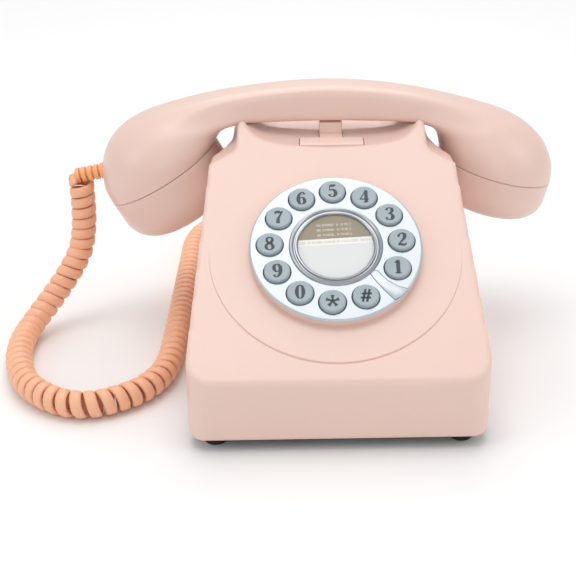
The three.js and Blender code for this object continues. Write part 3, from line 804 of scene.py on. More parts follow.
def dial_frame(card_depth: float = 0.95 * MM) -> tuple[Matrix, float]:
    """Place of the dial, from the keys' joint axis, the number card and the dial plate.

    Args:
        card_depth: Depth of the card's middle below the face of the plate.

    Returns:
        The matrix of the dial, with its face at height 0, +X to the right and +Y up the slope, and the
        plate's radius.
    """
    axis = next(joint["axis"] for joint in frame["record"]["behaviour"]["joints"]
                if joint["name"] == "press_1")
    normal = -Vector(axis).normalized()
    low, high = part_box("dial_plate")
    right = Vector((1, 0, 0))
    turn = Matrix((right, normal.cross(right), normal)).transposed()
    face = middle("number_card") + normal * card_depth
    return Matrix.Translation(face) @ turn.to_4x4(), (high[0] - low[0]) / 2


DIAL, DIAL_RADIUS = dial_frame()


class Body(Enum):
    """Bodies that the new pieces ride on."""

    BASE = "base"
    HANDSET = "handset"
    PLUNGER = "plunger"


def fitted(piece: Piece, body: str | None, slot: str, material: bpy.types.Material, *nodes: str,
           angle: float = 35) -> Piece:
    """Finishes a piece: shading, material, body and the CAD nodes that it stands for.

    Args:
        piece: The piece.
        body: Name of the body it rides on, or None for a piece that is left on no body, such as the cord
            between two.
        slot: Name of the record's material slot; not used.
        material: Its material.
        nodes: CAD nodes that it replaces.
        angle: Edges that turn by more than this stay crisp.

    Returns:
        The piece.
    """
    Bench.smooth(piece, angle)
    piece.data.materials.clear()
    piece.data.materials.append(material)
    if body:
        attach(piece, body)
    if nodes:
        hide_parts(*nodes)
    LOG.info("%s: %d faces on %s", piece.name, len(piece.data.polygons), body)
    return piece


# ---------------------------------------------------------------- studio

@dataclass
class Studio:
    """White table, soft light from above and the camera."""

    azimuth: float = -2.12
    elevation: float = 24.04
    roll: float = 0.22
    distance: float = 0.6109
    target: Vector = field(default_factory=lambda: Vector((0, 0.004, 0.0564)))
    lens: float = 74.02
    shift: Pair = (-0.0783, -0.0517)

    def build(self) -> None:
        """Makes the camera, then the table and the lights."""
        self.camera()
        self.table()
        self.light("key_light", (-0.5, -0.1, 1.45), 0.7, 1.5)
        self.light("top_light", (0.0, 0.08, 1.5), 0.9, 5.8)
        self.light("left_light", (-1.3, -0.5, 0.8), 0.8, 3.0)
        self.light("right_light", (1.3, -0.5, 0.8), 0.8, 3.2)
        self.light("front_light", (0.1, -1.6, 0.45), 0.6, 1.6)
        self.light("back_light", (0.0, 1.5, 1.7), 1.4, 11.0)
        world = bpy.data.worlds.new("white_room")
        world.use_nodes = True
        world.node_tree.nodes["Background"].inputs["Color"].default_value = (1, 1, 1, 1)
        world.node_tree.nodes["Background"].inputs["Strength"].default_value = 0.62
        bpy.context.scene.world = world
        bpy.context.scene.view_settings.view_transform = "Standard"

    def camera(self) -> None:
        """Places the camera by its angles and distance from the target."""
        azimuth, elevation, roll = (radians(a) for a in (self.azimuth, self.elevation, self.roll))
        back = Vector((sin(azimuth) * cos(elevation), -cos(azimuth) * cos(elevation), sin(elevation)))
        level = Vector((0, 0, 1)).cross(back).normalized()
        right = cos(roll) * level + sin(roll) * back.cross(level)
        turn = Matrix((right, back.cross(right), back)).transposed().to_4x4()
        bpy.ops.object.camera_add()
        camera = bpy.context.object
        camera.name = "camera"
        camera.matrix_world = Matrix.Translation(self.target + back * self.distance) @ turn
        camera.data.lens = self.lens
        camera.data.sensor_width = 36
        camera.data.shift_x, camera.data.shift_y = self.shift
        camera.data.clip_start, camera.data.clip_end = 0.01, 50
        bpy.context.scene.camera = camera

    def table(self) -> None:
        """Wide white table."""
        bpy.ops.mesh.primitive_plane_add(size=14, location=(0, 2, 0))
        table = Bench.new("table")
        paint = Paint("white_table")
        table.data.materials.append(paint.done(
            Base_Color=paint.tinted((0.9, 0.9, 0.9), paint.noise(3, 2), 0.01), Roughness=0.75))

    def light(self, name: str, place: tuple[float, float, float], size: float, power: float) -> None:
        """Square lamp that looks at the target.

        Args:
            name: Its name.
            place: Where it stands.
            size: The lamp's side, in metres.
            power: The lamp's power, in watts.
        """
        bpy.ops.object.light_add(type="AREA", location=place)
        lamp = bpy.context.object
        lamp.name = name
        lamp.data.size = size
        lamp.data.energy = power
        lamp.rotation_euler = (self.target - Vector(place)).to_track_quat("-Z", "Y").to_euler()


# ---------------------------------------------------------------- cord

@dataclass
class CurlyCord:
    """Curly cord from the handset's boot to the plug in the back of the case, one vinyl strand."""

    wide: float = 5.7 * MM
    thick: float = 3.0 * MM
    coil: float = 5.4 * MM
    pitches: tuple[Pair, ...] = (
        (0.0, 6.2), (0.07, 6.1), (0.11, 5.9), (0.15, 6.1), (0.18, 6.6), (0.24, 6.5), (0.29, 6.0), (1.0, 5.9))
    turn_points: int = 14
    sides: int = 10
    dusty: float = 0.03
    route: tuple[tuple[float, float, float], ...] = (
        (-0.1347, 0.0534, 0.0775), (-0.1347, 0.0534, 0.066), (-0.1356, 0.0532, 0.054),
        (-0.1382, 0.0515, 0.042), (-0.1442, 0.047, 0.031), (-0.1525, 0.0405, 0.020),
        (-0.161, 0.031, 0.0105), (-0.165, 0.018, 0.0065), (-0.1635, -0.007, 0.0065),
        (-0.1555, -0.031, 0.0065), (-0.1435, -0.046, 0.0065), (-0.1305, -0.054, 0.0065),
        (-0.118, -0.055, 0.0065), (-0.106, -0.0495, 0.0065), (-0.095, -0.040, 0.0065),
        (-0.087, -0.024, 0.0065), (-0.0842, 0.0, 0.0065), (-0.0838, 0.030, 0.0065),
        (-0.0836, 0.072, 0.0065), (-0.0834, 0.112, 0.0065), (-0.0826, 0.143, 0.0065),
        (-0.0755, 0.163, 0.0065), (-0.060, 0.1705, 0.0065), (-0.046, 0.163, 0.0065),
        (-0.037, 0.146, 0.0065))
    tail: tuple[tuple[float, float, float], ...] = (
        (-0.0366, 0.1442, 0.0065), (-0.033, 0.134, 0.008), (-0.031, 0.122, 0.013),
        (-0.0303, 0.112, 0.0174), (-0.030, 0.105, 0.0183))

    def pitch(self, travelled: float) -> float:
        """Distance from one turn to the next, at a distance along the coil.

        Args:
            travelled: Distance along the coil, in metres.

        Returns:
            The distance, in metres.
        """
        for (low, first), (high, second) in zip(self.pitches, self.pitches[1:]):
            if travelled <= high:
                return (first + (second - first) * (travelled - low) / (high - low)) * MM
        return self.pitches[-1][1] * MM

    def centreline(self, boot_end: Vector, boot_axis: Vector) -> tuple[list[Vector], list[Vector]]:
        """Line of the strand: out of the boot, round every turn and along the tail.

        Args:
            boot_end: Middle of the boot's end.
            boot_axis: Direction in which the boot points.

        Returns:
            Points close together, from the boot to the plug, and the way that the flat of the strand faces at
            each of them, which is out from the coil.
        """
        route = [Vector(p) for p in spline(self.route, 40)]
        lengths = [0.0]
        for before, after in zip(route, route[1:]):
            lengths.append(lengths[-1] + (after - before).length)
        total = lengths[-1]
        across = Vector((0, 1, 0))
        points, flats = [boot_end, boot_end + boot_axis * 0.8 * MM], [Vector((0, 0, 1))] * 2
        travelled, angle, at = -0.9 * self.wide, -2.4, 0
        while travelled < total:
            while lengths[at + 1] < travelled:
                at += 1
            share = (travelled - lengths[at]) / (lengths[at + 1] - lengths[at])
            centre = route[at].lerp(route[at + 1], share)
            centre.z = max(centre.z, self.coil + self.thick / 2)
            forward = (route[at + 1] - route[at]).normalized()
            across = (across - forward * across.dot(forward)).normalized()
            radius = self.coil * min(1.0, 0.5 + (total - travelled) / (2 * self.coil))
            flats.append(cos(angle) * across + sin(angle) * forward.cross(across))
            points.append(centre + radius * flats[-1])
            angle += tau / self.turn_points
            travelled += self.pitch(travelled) / self.turn_points
        tail = [Vector(p) for p in spline(self.tail, 6)]
        return points + tail, flats + [Vector((0, 0, 1))] * len(tail)

    def build(self, boot_end: Vector, boot_axis: Vector, ends: Sequence[Piece]) -> Piece:
        """Sweeps the strand along its line.

        Args:
            boot_end: Middle of the boot's end.
            boot_axis: Direction in which the boot points.
            ends: The boot and the plug; not used.

        Returns:
            The cord.
        """
        line, flats = self.centreline(boot_end, boot_axis)
        ring = []
        for i in range(self.sides):
            out, beside = cos(tau * i / self.sides), sin(tau * i / self.sides)
            ring.append((self.thick / 2 * abs(out) ** 0.8 * (1 if out > 0 else -1),
                         self.wide / 2 * abs(beside) ** 0.8 * (1 if beside > 0 else -1)))
        rows = []
        for before, spot, after, flat in zip([line[0], *line], line, [*line[1:], line[-1]], flats):
            forward = (after - before).normalized()
            flat = (flat - forward * flat.dot(forward)).normalized()
            rows.append([spot + out * flat + beside * forward.cross(flat) for out, beside in ring])
        cord = Bench.draped("curly_handset_cord", rows, wrapped=True, filled=True)
        skin = Pliant("salmon_vinyl", srgb(245, 185, 149), 0.38, srgb(245, 200, 175), self.dusty, 0.12)
        fitted(cord, None, "salmon_cord", skin.material(), "curly_cord", "cord_tail", angle=60)
        length = sum((b - a).length for a, b in zip(line, line[1:]))
        LOG.info("cord: %.2f m of strand", length)
        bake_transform(cord)
        return cord


# ---------------------------------------------------------------- case

@dataclass
class CaseShell:
    """One-piece upper case: sloping front, two pairs of ears, cradle trough and carrying hollow."""

    front_width: float = 142.4 * MM
    rear_width: float = 114 * MM
    wall: float = 2.5 * MM
    corner: float = 12 * MM
    ridge: float = 36.7 * MM
    undercut: float = 1.5 * MM
    slope: float = radians(32.65)
    ear_height: float = 119.5 * MM
    rear_shoulder: Pair = (6 * MM, 104 * MM)
    rear_wall: float = 70 * MM
    shoulder_x: float = 52 * MM
    shoulder_height: float = 107.4 * MM
    shoulder_fall: float = 0.367
    saddle: float = 109.5 * MM
    rear_saddle: float = 107 * MM
    neck: float = 51.8 * MM
    scoop: float = 36 * MM
    scoop_floor: float = 58 * MM
    handset_y: float = 53.4 * MM
    handle: float = 24 * MM
    handle_bottom: float = 116.5 * MM
    line: float = 61 * MM
    line_depth: float = 0.7 * MM
    voxel: float = 1.1 * MM
    fillet_rounds: int = 5

    def __post_init__(self) -> None:
        """Takes the depth and the lower rim from the CAD case."""
        low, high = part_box("upper_case")
        self.half = (high[1] - low[1]) / 2
        self.bottom = low[2]

    def side(self, wall: float, top: float) -> Outline:
        """Outline seen from the side, (y, z), with all its walls moved in by a wall.

        Args:
            wall: How far the walls are moved in, 0 for the outside.
            top: Height of the top.

        Returns:
            The outline.
        """
        reach = (top - self.ridge) * cos(self.slope) / sin(self.slope)
        low = self.bottom if wall == 0 else -self.half
        outline = [
            (-self.half + self.undercut, low), (self.half, low), (self.half, self.rear_wall),
            (self.half - self.rear_shoulder[0], self.rear_shoulder[1]), (self.half - 13.6 * MM, top),
            (-self.half + reach, top), (-self.half, self.ridge)]
        return offset(outline, wall) if wall else rounded(outline,
                                                          [0, 0, 20 * MM, 5 * MM, 3 * MM, 0.8 * MM, 3 * MM])

    def front(self, wall: float) -> Outline:
        """Outline seen from the front, (x, z): flanks, shoulders, ears and the saddle between them.

        Args:
            wall: How far the walls are moved in, 0 for the outside.

        Returns:
            The outline.
        """
        wide = self.front_width
        fall = [(wide, -wide), (wide, self.shoulder_height - (wide - self.shoulder_x) * self.shoulder_fall)]
        if wall:
            drop = 1.07 * wall
            return mirrored([(x, z - drop) for x, z in fall] + [
                (self.shoulder_x - 2 * MM, self.shoulder_height + 0.7 * MM - drop),
                (self.shoulder_x - 5 * MM, self.saddle - wall)])
        ear = [(self.shoulder_x + 1.5 * MM, self.shoulder_height - 0.4 * MM),
               (self.shoulder_x - 2.6 * MM, self.shoulder_height + 1.4 * MM),
               (self.shoulder_x - 3.3 * MM, self.ear_height - 1.5 * MM),
               (self.shoulder_x - 5.4 * MM, self.ear_height), (self.shoulder_x - 7.2 * MM, self.ear_height)]
        saddle = spline([(44 * MM, self.saddle + 7.6 * MM), (39 * MM, self.saddle + 4.3 * MM),
                         (31 * MM, self.saddle + 2 * MM), (16 * MM, self.saddle + 0.6 * MM),
                         (0.001 * MM, self.saddle)], 4)
        return mirrored(fall + ear + [(x, z) for x, z in saddle])

    def plan(self, wall: float) -> Outline:
        """Outline seen from above, (x, y)."""
        outline = [(-self.front_width / 2, -self.half), (self.front_width / 2, -self.half),
                   (self.rear_width / 2, self.half), (-self.rear_width / 2, self.half)]
        return rounded(offset(outline, wall), self.corner - wall, 10)

    def scooped(self, side: int, wall: float) -> Piece:
        """Hollow of one flank that clears an end of the handset, grown by a wall.

        Args:
            side: -1 for the left flank, 1 for the right.
            wall: How far the walls are moved in, 0 for the outside.

        Returns:
            The tool that cuts it.
        """
        hub = side * (self.neck + self.scoop)
        far = side * 2 * self.front_width
        front = arc((hub, self.handset_y), self.scoop + wall, 180 if side > 0 else 0,
                    270 if side > 0 else -90, 14)
        near = side * (self.neck - wall)
        outline = [(near, 2 * self.half), *front, (far, front[-1][1]), (far, 2 * self.half)]
        return Bench.pushed("scoop", outline, Along.Z, self.scoop_floor - wall, 2 * self.half)

    def block(self, wall: float) -> Piece:
        """Solid of the case, or of its cavity where a wall is given.

        Args:
            wall: How far the walls are moved in, 0 for the outside.

        Returns:
            The solid.
        """
        top = self.ear_height if wall == 0 else self.saddle
        body = Bench.pushed("case_side", self.side(wall, top), Along.X, -self.half, self.half)
        front = Bench.pushed("case_front", self.front(wall), Along.Y, -2 * self.half, 2 * self.half)
        plan = Bench.pushed("case_plan", self.plan(wall), Along.Z, -2 * self.half, 2 * self.half)
        Bench.combined(body, front, plan, cut=Cut.SHARED)
        return Bench.combined(body, self.scooped(-1, wall), self.scooped(1, wall))

    def cradle(self) -> list[Piece]:
        """Trough under the handle and the dip behind it.

        Returns:
            The tools that cut them.
        """
        clear = 0.6 * MM
        trough = (self.handset_y - self.handle / 2 - clear, self.handset_y + self.handle / 2 + clear)
        shelf = Bench.block("trough", (-self.half, self.half), trough, (self.handle_bottom - clear / 2, 0.3))
        dip = mirrored([(38 * MM, 0.3), (36 * MM, self.rear_saddle + 3 * MM), (28 * MM, self.rear_saddle)])
        return [shelf, Bench.pushed("dip", dip, Along.Y, self.handset_y + 2.6 * MM, 0.3)]

    def build(self, shell: bpy.types.Material) -> Piece:
        """Makes the case, from its blocked-out solid to its openings.

        Args:
            shell: Material of the pink shell.

        Returns:
            The piece.
        """
        case = Bench.combined(self.block(0), *self.cradle())
        case.name = "pink_upper_case"
        Bench.softened(case, self.voxel * (1), self.fillet_rounds)
        Bench.combined(case, self.dial_line())
        cavity = self.block(self.wall)
        step = Bench.block("step", (-0.2, 0.2), (self.handset_y + 0.6 * MM, 0.3),
                           (self.rear_saddle - 3 * MM, 0.3))
        Bench.combined(cavity, step)
        hollow = Bench.block("hollow", (-38.5 * MM, 38.5 * MM), (69.5 * MM, 0.3), (79.5 * MM, 99.5 * MM))
        Bench.combined(cavity, hollow)
        Bench.combined(case, cavity, *self.openings())
        return fitted(case, Body.BASE.value, "pink_shell", shell, "upper_case", angle=40)

    def dial_line(self) -> Piece:
        """Fine round line about the dial, deepest below it and gone above it.

        Returns:
            The tool that cuts it.
        """
        deep, wide = self.line_depth, self.line_depth * 0.9
        tool = Bench.turned("dial_line", [
            (self.line, 0), (self.line + 3 * wide, 3 * deep), (self.line - 3 * wide, 3 * deep)], 160,
            closed=True)
        return Bench.placed(tool, DIAL @ Matrix.Translation((0, 0, -5 * MM - 0.1 * deep))
                            @ Matrix.Rotation(0.9 * deep / self.line, 4, "X"))

    def openings(self) -> list[Piece]:
        """Tools for the dial's seat, the plunger, the carrying hollow, the sockets and the switch.

        Returns:
            The tools.
        """
        hole = Bench.placed(Bench.turned("dial_hole",
                                         [(0, -0.02), (0.040, -0.02), (0.040, 0.01), (0, 0.01)], 96), DIAL)
        low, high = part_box("plunger_bar")
        gap = 0.35 * MM
        deep = self.saddle - 1.2 * MM
        seat = Bench.block("seat", (low[0] - gap, high[0] + gap), (low[1] - gap, 38 * MM + gap), (deep, 0.3))
        riser = Bench.block("riser", (-6 * MM - gap, 6 * MM + gap), (38 * MM, high[1] + gap), (deep, 0.3))
        slot = Bench.block("slot", (-5.4 * MM, 5.4 * MM), (39.6 * MM, 50.4 * MM), (self.saddle - 8 * MM, 0.3))
        carry = Bench.bevelled(
            Bench.block("carry", (-36 * MM, 36 * MM), (72 * MM, 0.12), (82 * MM, 97 * MM)), 3 * MM, 4)
        tools = [hole, seat, riser, slot, carry]
        for node in ("handset_jack", "line_jack"):
            (x0, _, z0), (x1, _, z1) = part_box(node)
            tools.append(Bench.block(node + "_hole", (x0 - 0.4 * MM, x1 + 0.4 * MM),
                                     (self.half - 20 * MM, 0.12),
                                     (z0 - 0.4 * MM, z1 + 0.4 * MM)))
        knob_low, knob_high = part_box("ringer_switch_knob")
        tools.append(Bench.block("knob_slot", (knob_low[0] - 0.5 * MM, knob_high[0] + 7.5 * MM),
                                 (self.half - 8 * MM, 0.12),
                                 (knob_low[2] - 0.5 * MM, knob_high[2] + 0.5 * MM)))
        return tools


# ---------------------------------------------------------------- handset

@dataclass
class PodEnd:
    """One round end of the handset: where its seam is and how its cap is turned."""

    side: int
    centre: Pair
    radius: float
    tilt: float
    depth: float
    corner: float
    cap_node: str
    cap_name: str
    holes: int

    def matrix(self, y: float) -> Matrix:
        """Frame of the seam, with +Z up into the dome."""
        return (Matrix.Translation((self.centre[0], y, self.centre[1]))
                @ Matrix.Rotation(self.side * radians(self.tilt), 4, "Y"))


@dataclass
class Handset:
    """Handle and two domes moulded in one, two screwed caps, and the boot of the cord."""

    y: float = 53.4 * MM
    wall: float = 2.4 * MM
    sides: int = 56
    mouth: PodEnd = field(default_factory=lambda: PodEnd(
        -1, (-90.0 * MM, 88.8 * MM), 33.0 * MM, 30.2, 28.5 * MM, 15 * MM, "mouth_cap", "mouthpiece_cap", 7))
    ear: PodEnd = field(default_factory=lambda: PodEnd(
        1, (89.4 * MM, 90.0 * MM), 31.6 * MM, 14.4, 23 * MM, 11.7 * MM, "ear_cap", "earpiece_cap", 6))
    # Rows of the handle: outer x, z and inner x, z of the ring in the middle plane, its half width across,
    # and how square it is, from 2 for round.
    rows: tuple[tuple[float, ...], ...] = (
        (-121.6, 80.0, -60.4, 106.9, 33.0, 2.0), (-122.3, 89.0, -59.8, 108.2, 32.7, 2.0),
        (-120.8, 98.5, -59.0, 109.5, 31.4, 2.0), (-116.5, 107.0, -58.0, 110.8, 29.3, 2.0),
        (-110.0, 113.4, -56.6, 112.0, 26.6, 2.05), (-101.5, 118.2, -54.8, 113.2, 23.4, 2.2),
        (-92.0, 121.8, -52.4, 114.3, 20.0, 2.5), (-81.0, 125.0, -49.3, 115.2, 17.0, 3.0),
        (-69.0, 128.0, -45.6, 115.9, 14.8, 3.7), (-55.0, 130.9, -40.5, 116.4, 13.1, 4.4),
        (-38.0, 133.4, -31.5, 116.7, 12.3, 4.8), (-19.0, 135.3, -17.0, 117.1, 12.0, 5.0),
        (0.0, 136.0, 0.0, 117.3, 12.0, 5.0), (20.0, 135.0, 17.0, 117.1, 12.0, 5.0),
        (39.0, 132.7, 31.0, 116.7, 12.2, 4.8), (55.0, 129.6, 40.0, 116.3, 12.9, 4.4),
        (69.0, 126.2, 45.3, 115.7, 14.4, 3.7), (82.0, 122.6, 49.2, 114.8, 16.8, 3.0),
        (93.0, 119.0, 52.3, 113.4, 19.8, 2.5), (102.0, 115.0, 54.8, 111.4, 23.2, 2.2),
        (109.5, 109.4, 56.6, 109.0, 26.2, 2.05), (115.2, 103.0, 57.6, 106.4, 28.8, 2.0),
        (118.8, 95.6, 58.3, 103.6, 30.5, 2.0), (120.3, 88.8, 58.8, 100.8, 31.4, 2.0))

    def seam_row(self, end: PodEnd) -> tuple[float, ...]:
        """Row of the handle at a seam.

        Args:
            end: Which end of the handset.

        Returns:
            The row's sizes.
        """
        reach = Vector((cos(radians(end.tilt)), -end.side * sin(radians(end.tilt)))) * end.radius
        centre = Vector(end.centre)
        outer, inner = centre + end.side * reach, centre - end.side * reach
        return (*(outer / MM), *(inner / MM), end.radius / MM, 2.0)

    def ring(self, row: Sequence[float]) -> list[Vector]:
        """Ring of points of a row, a circle at the domes and a soft square along the handle.

        Args:
            row: The row's sizes.

        Returns:
            The points.
        """
        outer, inner = Vector((row[0], 0, row[1])), Vector((row[2], 0, row[3]))
        centre, half = (outer + inner) / 2, (outer - inner) / 2
        ring = []
        for i in range(self.sides):
            angle = tau * (i + 0.5) / self.sides
            across, up = cos(angle), sin(angle)
            power = 2 / row[5]
            y = row[4] * abs(across) ** power * (1 if across > 0 else -1)
            share = abs(up) ** power * (1 if up > 0 else -1)
            ring.append((centre + half * share) * MM + Vector((0, self.y + y * MM, 0)))
        return ring

    def shell(self, plastic: bpy.types.Material) -> Piece:
        """Handle and domes: a surface over the rings, thickened inwards.

        Args:
            plastic: Material of the pink plastic.

        Returns:
            The piece.
        """
        rows = [self.seam_row(self.mouth), *self.rows, self.seam_row(self.ear)]
        handle = Bench.draped("handset_handle", [self.ring(row) for row in spline(rows, 4)], wrapped=True)
        Bench.modified(handle, "SOLIDIFY", thickness=self.wall, offset=-1.0, use_rim=True)
        return fitted(handle, Body.HANDSET.value, "pink_shell", plastic, "handle_shell", angle=50)

    def cap(self, end: PodEnd, plastic: bpy.types.Material) -> Piece:
        """Screwed cap with a fine step at the seam, a flat face and its sound holes.

        Args:
            end: Which end of the handset.
            plastic: Material of the pink plastic.

        Returns:
            The piece.
        """
        r, d, c, w = end.radius, end.depth, end.corner, self.wall
        gap, lip = 0.35 * MM, 0.5 * MM
        outside = [(0, -d), (r - c - 1.5 * MM, -d), *arc((r - c, -d + c), c, -84, 0, 12),
                   (r, -gap - lip), (r - lip, -gap)]
        inside = [(r - w, -gap), (r - w, -d + c), *arc((r - c, -d + c), c - w, 0, -90, 6)[1:], (0, -d + w)]
        cap = Bench.turned(end.cap_name, outside + inside, 96)
        pins = []
        for ring, count in ((0, 1), (6 * MM, 6), (12 * MM, end.holes * 2)):
            for i in range(count):
                spot = Matrix.Rotation(tau * i / count, 4, "Z") @ Matrix.Translation((ring, 0, 0))
                pin = Bench.turned("pin", [(0, -d - MM), (1.1 * MM, -d - MM), (1.1 * MM, -d + 4 * MM),
                                           (0, -d + 4 * MM)], 12)
                pins.append(Bench.placed(pin, spot))
        Bench.combined(cap, Bench.joined("pins", pins))
        Bench.placed(cap, end.matrix(self.y))
        return fitted(cap, Body.HANDSET.value, "pink_shell", plastic, end.cap_node, angle=40)

    def boot(self, vinyl: bpy.types.Material) -> tuple[Piece, Vector, Vector]:
        """Ribbed boot of the cord.

        Args:
            vinyl: Its material.

        Returns:
            The boot, the middle of its end and the direction that it points in.
        """
        start, end = Vector((-0.1175, self.y, 0.0886)), Vector((-0.1375, self.y, 0.0848))
        length, radius, ribs = (end - start).length, 4.1 * MM, 4
        profile = [(0, 0), (radius + 0.5 * MM, 0), (radius + 0.3 * MM, 5.0 * MM)]
        pitch = (length - 6.6 * MM) / ribs
        for i in range(ribs):
            z = 6.2 * MM + pitch * i
            profile += [(radius, z), (radius - 1.7 * MM, z + 0.1 * MM), (radius - 1.7 * MM, z + 0.32 * pitch),
                        (radius, z + 0.36 * pitch)]
        profile += [(radius - 0.2 * MM, length - 0.5 * MM)]
        profile += [(2.2 * MM, length), (0, length)]
        boot = Bench.turned("cord_boot", profile, 40)
        axis = (end - start).normalized()
        Bench.placed(boot, Matrix.Translation(start) @ axis.to_track_quat("Z", "Y").to_matrix().to_4x4())
        fitted(boot, Body.HANDSET.value, "orange_boot", vinyl, "strain_relief")
        return boot, end, axis


# ---------------------------------------------------------------- dial

@dataclass
class Glyph:
    """Characters of the keys, drawn as pen strokes of changing width: x, y and width, for a height of 1."""

    height: float = 7.6 * MM
    bold: float = 1.2
    strokes: dict[str, tuple[tuple[tuple[float, float, float], ...], ...]] = field(default_factory=lambda: {
        "1": (((0.1, 0.8, 0.04), (0.22, 0.86, 0.08), (0.33, 0.96, 0.12)),
              ((0.32, 0.98, 0.2), (0.32, 0.02, 0.2)), ((0.08, 0.03, 0.07), (0.56, 0.03, 0.07))),
        "2": (((0.12, 0.7, 0.17), (0.14, 0.85, 0.1), (0.3, 0.965, 0.07), (0.47, 0.88, 0.17), (0.49, 0.7, 0.2),
               (0.38, 0.48, 0.13), (0.2, 0.26, 0.08), (0.06, 0.06, 0.06)),
              ((0.06, 0.08, 0.1), (0.28, 0.1, 0.16), (0.48, 0.06, 0.13), (0.57, 0.24, 0.05))),
        "3": (((0.12, 0.78, 0.17), (0.18, 0.92, 0.08), (0.32, 0.965, 0.06), (0.47, 0.88, 0.15),
               (0.48, 0.73, 0.18), (0.38, 0.58, 0.1), (0.24, 0.53, 0.05)),
              ((0.24, 0.53, 0.05), (0.42, 0.48, 0.1), (0.52, 0.28, 0.2), (0.44, 0.1, 0.15),
               (0.28, 0.035, 0.06), (0.14, 0.08, 0.09), (0.1, 0.22, 0.17))),
        "4": (((0.42, 0.96, 0.05), (0.02, 0.29, 0.05)), ((0.0, 0.28, 0.07), (0.6, 0.28, 0.07)),
              ((0.42, 0.98, 0.18), (0.42, 0.02, 0.18)), ((0.24, 0.03, 0.07), (0.6, 0.03, 0.07))),
        "5": (((0.13, 0.9, 0.13), (0.32, 0.91, 0.16), (0.52, 0.97, 0.06)),
              ((0.13, 0.95, 0.05), (0.11, 0.5, 0.05)),
              ((0.11, 0.52, 0.05), (0.26, 0.6, 0.08), (0.44, 0.51, 0.16), (0.5, 0.3, 0.2), (0.42, 0.1, 0.15),
               (0.27, 0.035, 0.06), (0.13, 0.09, 0.1), (0.1, 0.22, 0.17))),
        "6": (((0.48, 0.8, 0.15), (0.4, 0.95, 0.07), (0.27, 0.93, 0.09), (0.12, 0.7, 0.17), (0.09, 0.36, 0.2),
               (0.17, 0.1, 0.14), (0.31, 0.035, 0.06), (0.46, 0.13, 0.15), (0.5, 0.31, 0.18),
               (0.42, 0.5, 0.13), (0.3, 0.57, 0.05), (0.17, 0.46, 0.05)),),
        "7": (((0.07, 0.74, 0.05), (0.1, 0.88, 0.12), (0.26, 0.92, 0.17), (0.42, 0.86, 0.13),
               (0.56, 0.97, 0.05)),
              ((0.56, 0.97, 0.04), (0.36, 0.6, 0.1), (0.26, 0.3, 0.17), (0.27, 0.02, 0.2))),
        "8": (((0.3, 0.97, 0.06), (0.45, 0.89, 0.13), (0.46, 0.7, 0.16), (0.3, 0.54, 0.13),
               (0.13, 0.69, 0.13),
               (0.15, 0.89, 0.12), (0.3, 0.97, 0.06)),
              ((0.3, 0.54, 0.12), (0.13, 0.42, 0.12), (0.08, 0.24, 0.17), (0.16, 0.08, 0.12),
               (0.3, 0.03, 0.06),
               (0.46, 0.1, 0.13), (0.51, 0.26, 0.18), (0.44, 0.44, 0.14), (0.3, 0.54, 0.12))),
        "0": (((0.3, 0.97, 0.06), (0.44, 0.86, 0.13), (0.5, 0.5, 0.2), (0.44, 0.14, 0.13), (0.3, 0.03, 0.06),
               (0.16, 0.14, 0.13), (0.1, 0.5, 0.2), (0.16, 0.86, 0.13), (0.3, 0.97, 0.06)),),
        "hash": (((0.08, 0.04, 0.12), (0.28, 0.96, 0.12)), ((0.34, 0.04, 0.12), (0.54, 0.96, 0.12)),
                 ((-0.04, 0.34, 0.11), (0.6, 0.34, 0.11)), ((0.02, 0.64, 0.11), (0.66, 0.64, 0.11))),
    })

    def pens(self, name: str) -> list[list[tuple[float, float, float]]]:
        """Strokes of one character. A nine is a six turned round, and a star is five arms.

        Args:
            name: Its name.

        Returns:
            The strokes.
        """
        if name == "9":
            return [[(0.6 - x, 1 - y, w) for x, y, w in stroke] for stroke in self.strokes["6"]]
        if name == "star":
            arms = [tau * (i / 5 + 0.25) for i in range(5)]
            return [[(0.3, 0.5, 0.1), (0.3 + 0.22 * cos(a), 0.5 + 0.22 * sin(a), 0.12),
                     (0.3 + 0.42 * cos(a), 0.5 + 0.42 * sin(a), 0.2)] for a in arms]
        return [list(stroke) for stroke in self.strokes[name]]

    def build(self, name: str, thickness: float) -> Piece:
        """Flat solid of a character, centred on the origin, from 0 up to its thickness.

        Args:
            name: Its name.
            thickness: How thick it is, in metres.

        Returns:
            The piece.
        """
        ribbons = []
        for stroke in self.pens(name):
            line = spline(stroke, 1 if len(stroke) == 2 else 5)
            rows = []
            for before, (x, y, width), after in zip([line[0], *line], line, [*line[1:], line[-1]]):
                ahead = Vector((after[0] - before[0],
                                after[1] - before[1])).normalized() * width * self.bold / 2
                edge = [(x - ahead.y, y + ahead.x), (x + ahead.y, y - ahead.x)]
                rows.append([Vector(((u - 0.3) * self.height, (v - 0.5) * self.height, 0)) for u, v in edge])
            ribbon = Bench.draped("ribbon", rows, wrapped=False)
            up = ribbon.data.polygons[0].normal.z > 0
            ribbons.append(Bench.modified(ribbon, "SOLIDIFY", thickness=thickness,
                                          offset=1.0 if up else -1.0))
        for ribbon in ribbons:
            low = min(v.co.z for v in ribbon.data.vertices)
            if low < -thickness / 2:
                Bench.placed(ribbon, Matrix.Translation((0, 0, thickness)))
        return ribbons[0] if len(ribbons) == 1 else Bench.joined(name, ribbons)


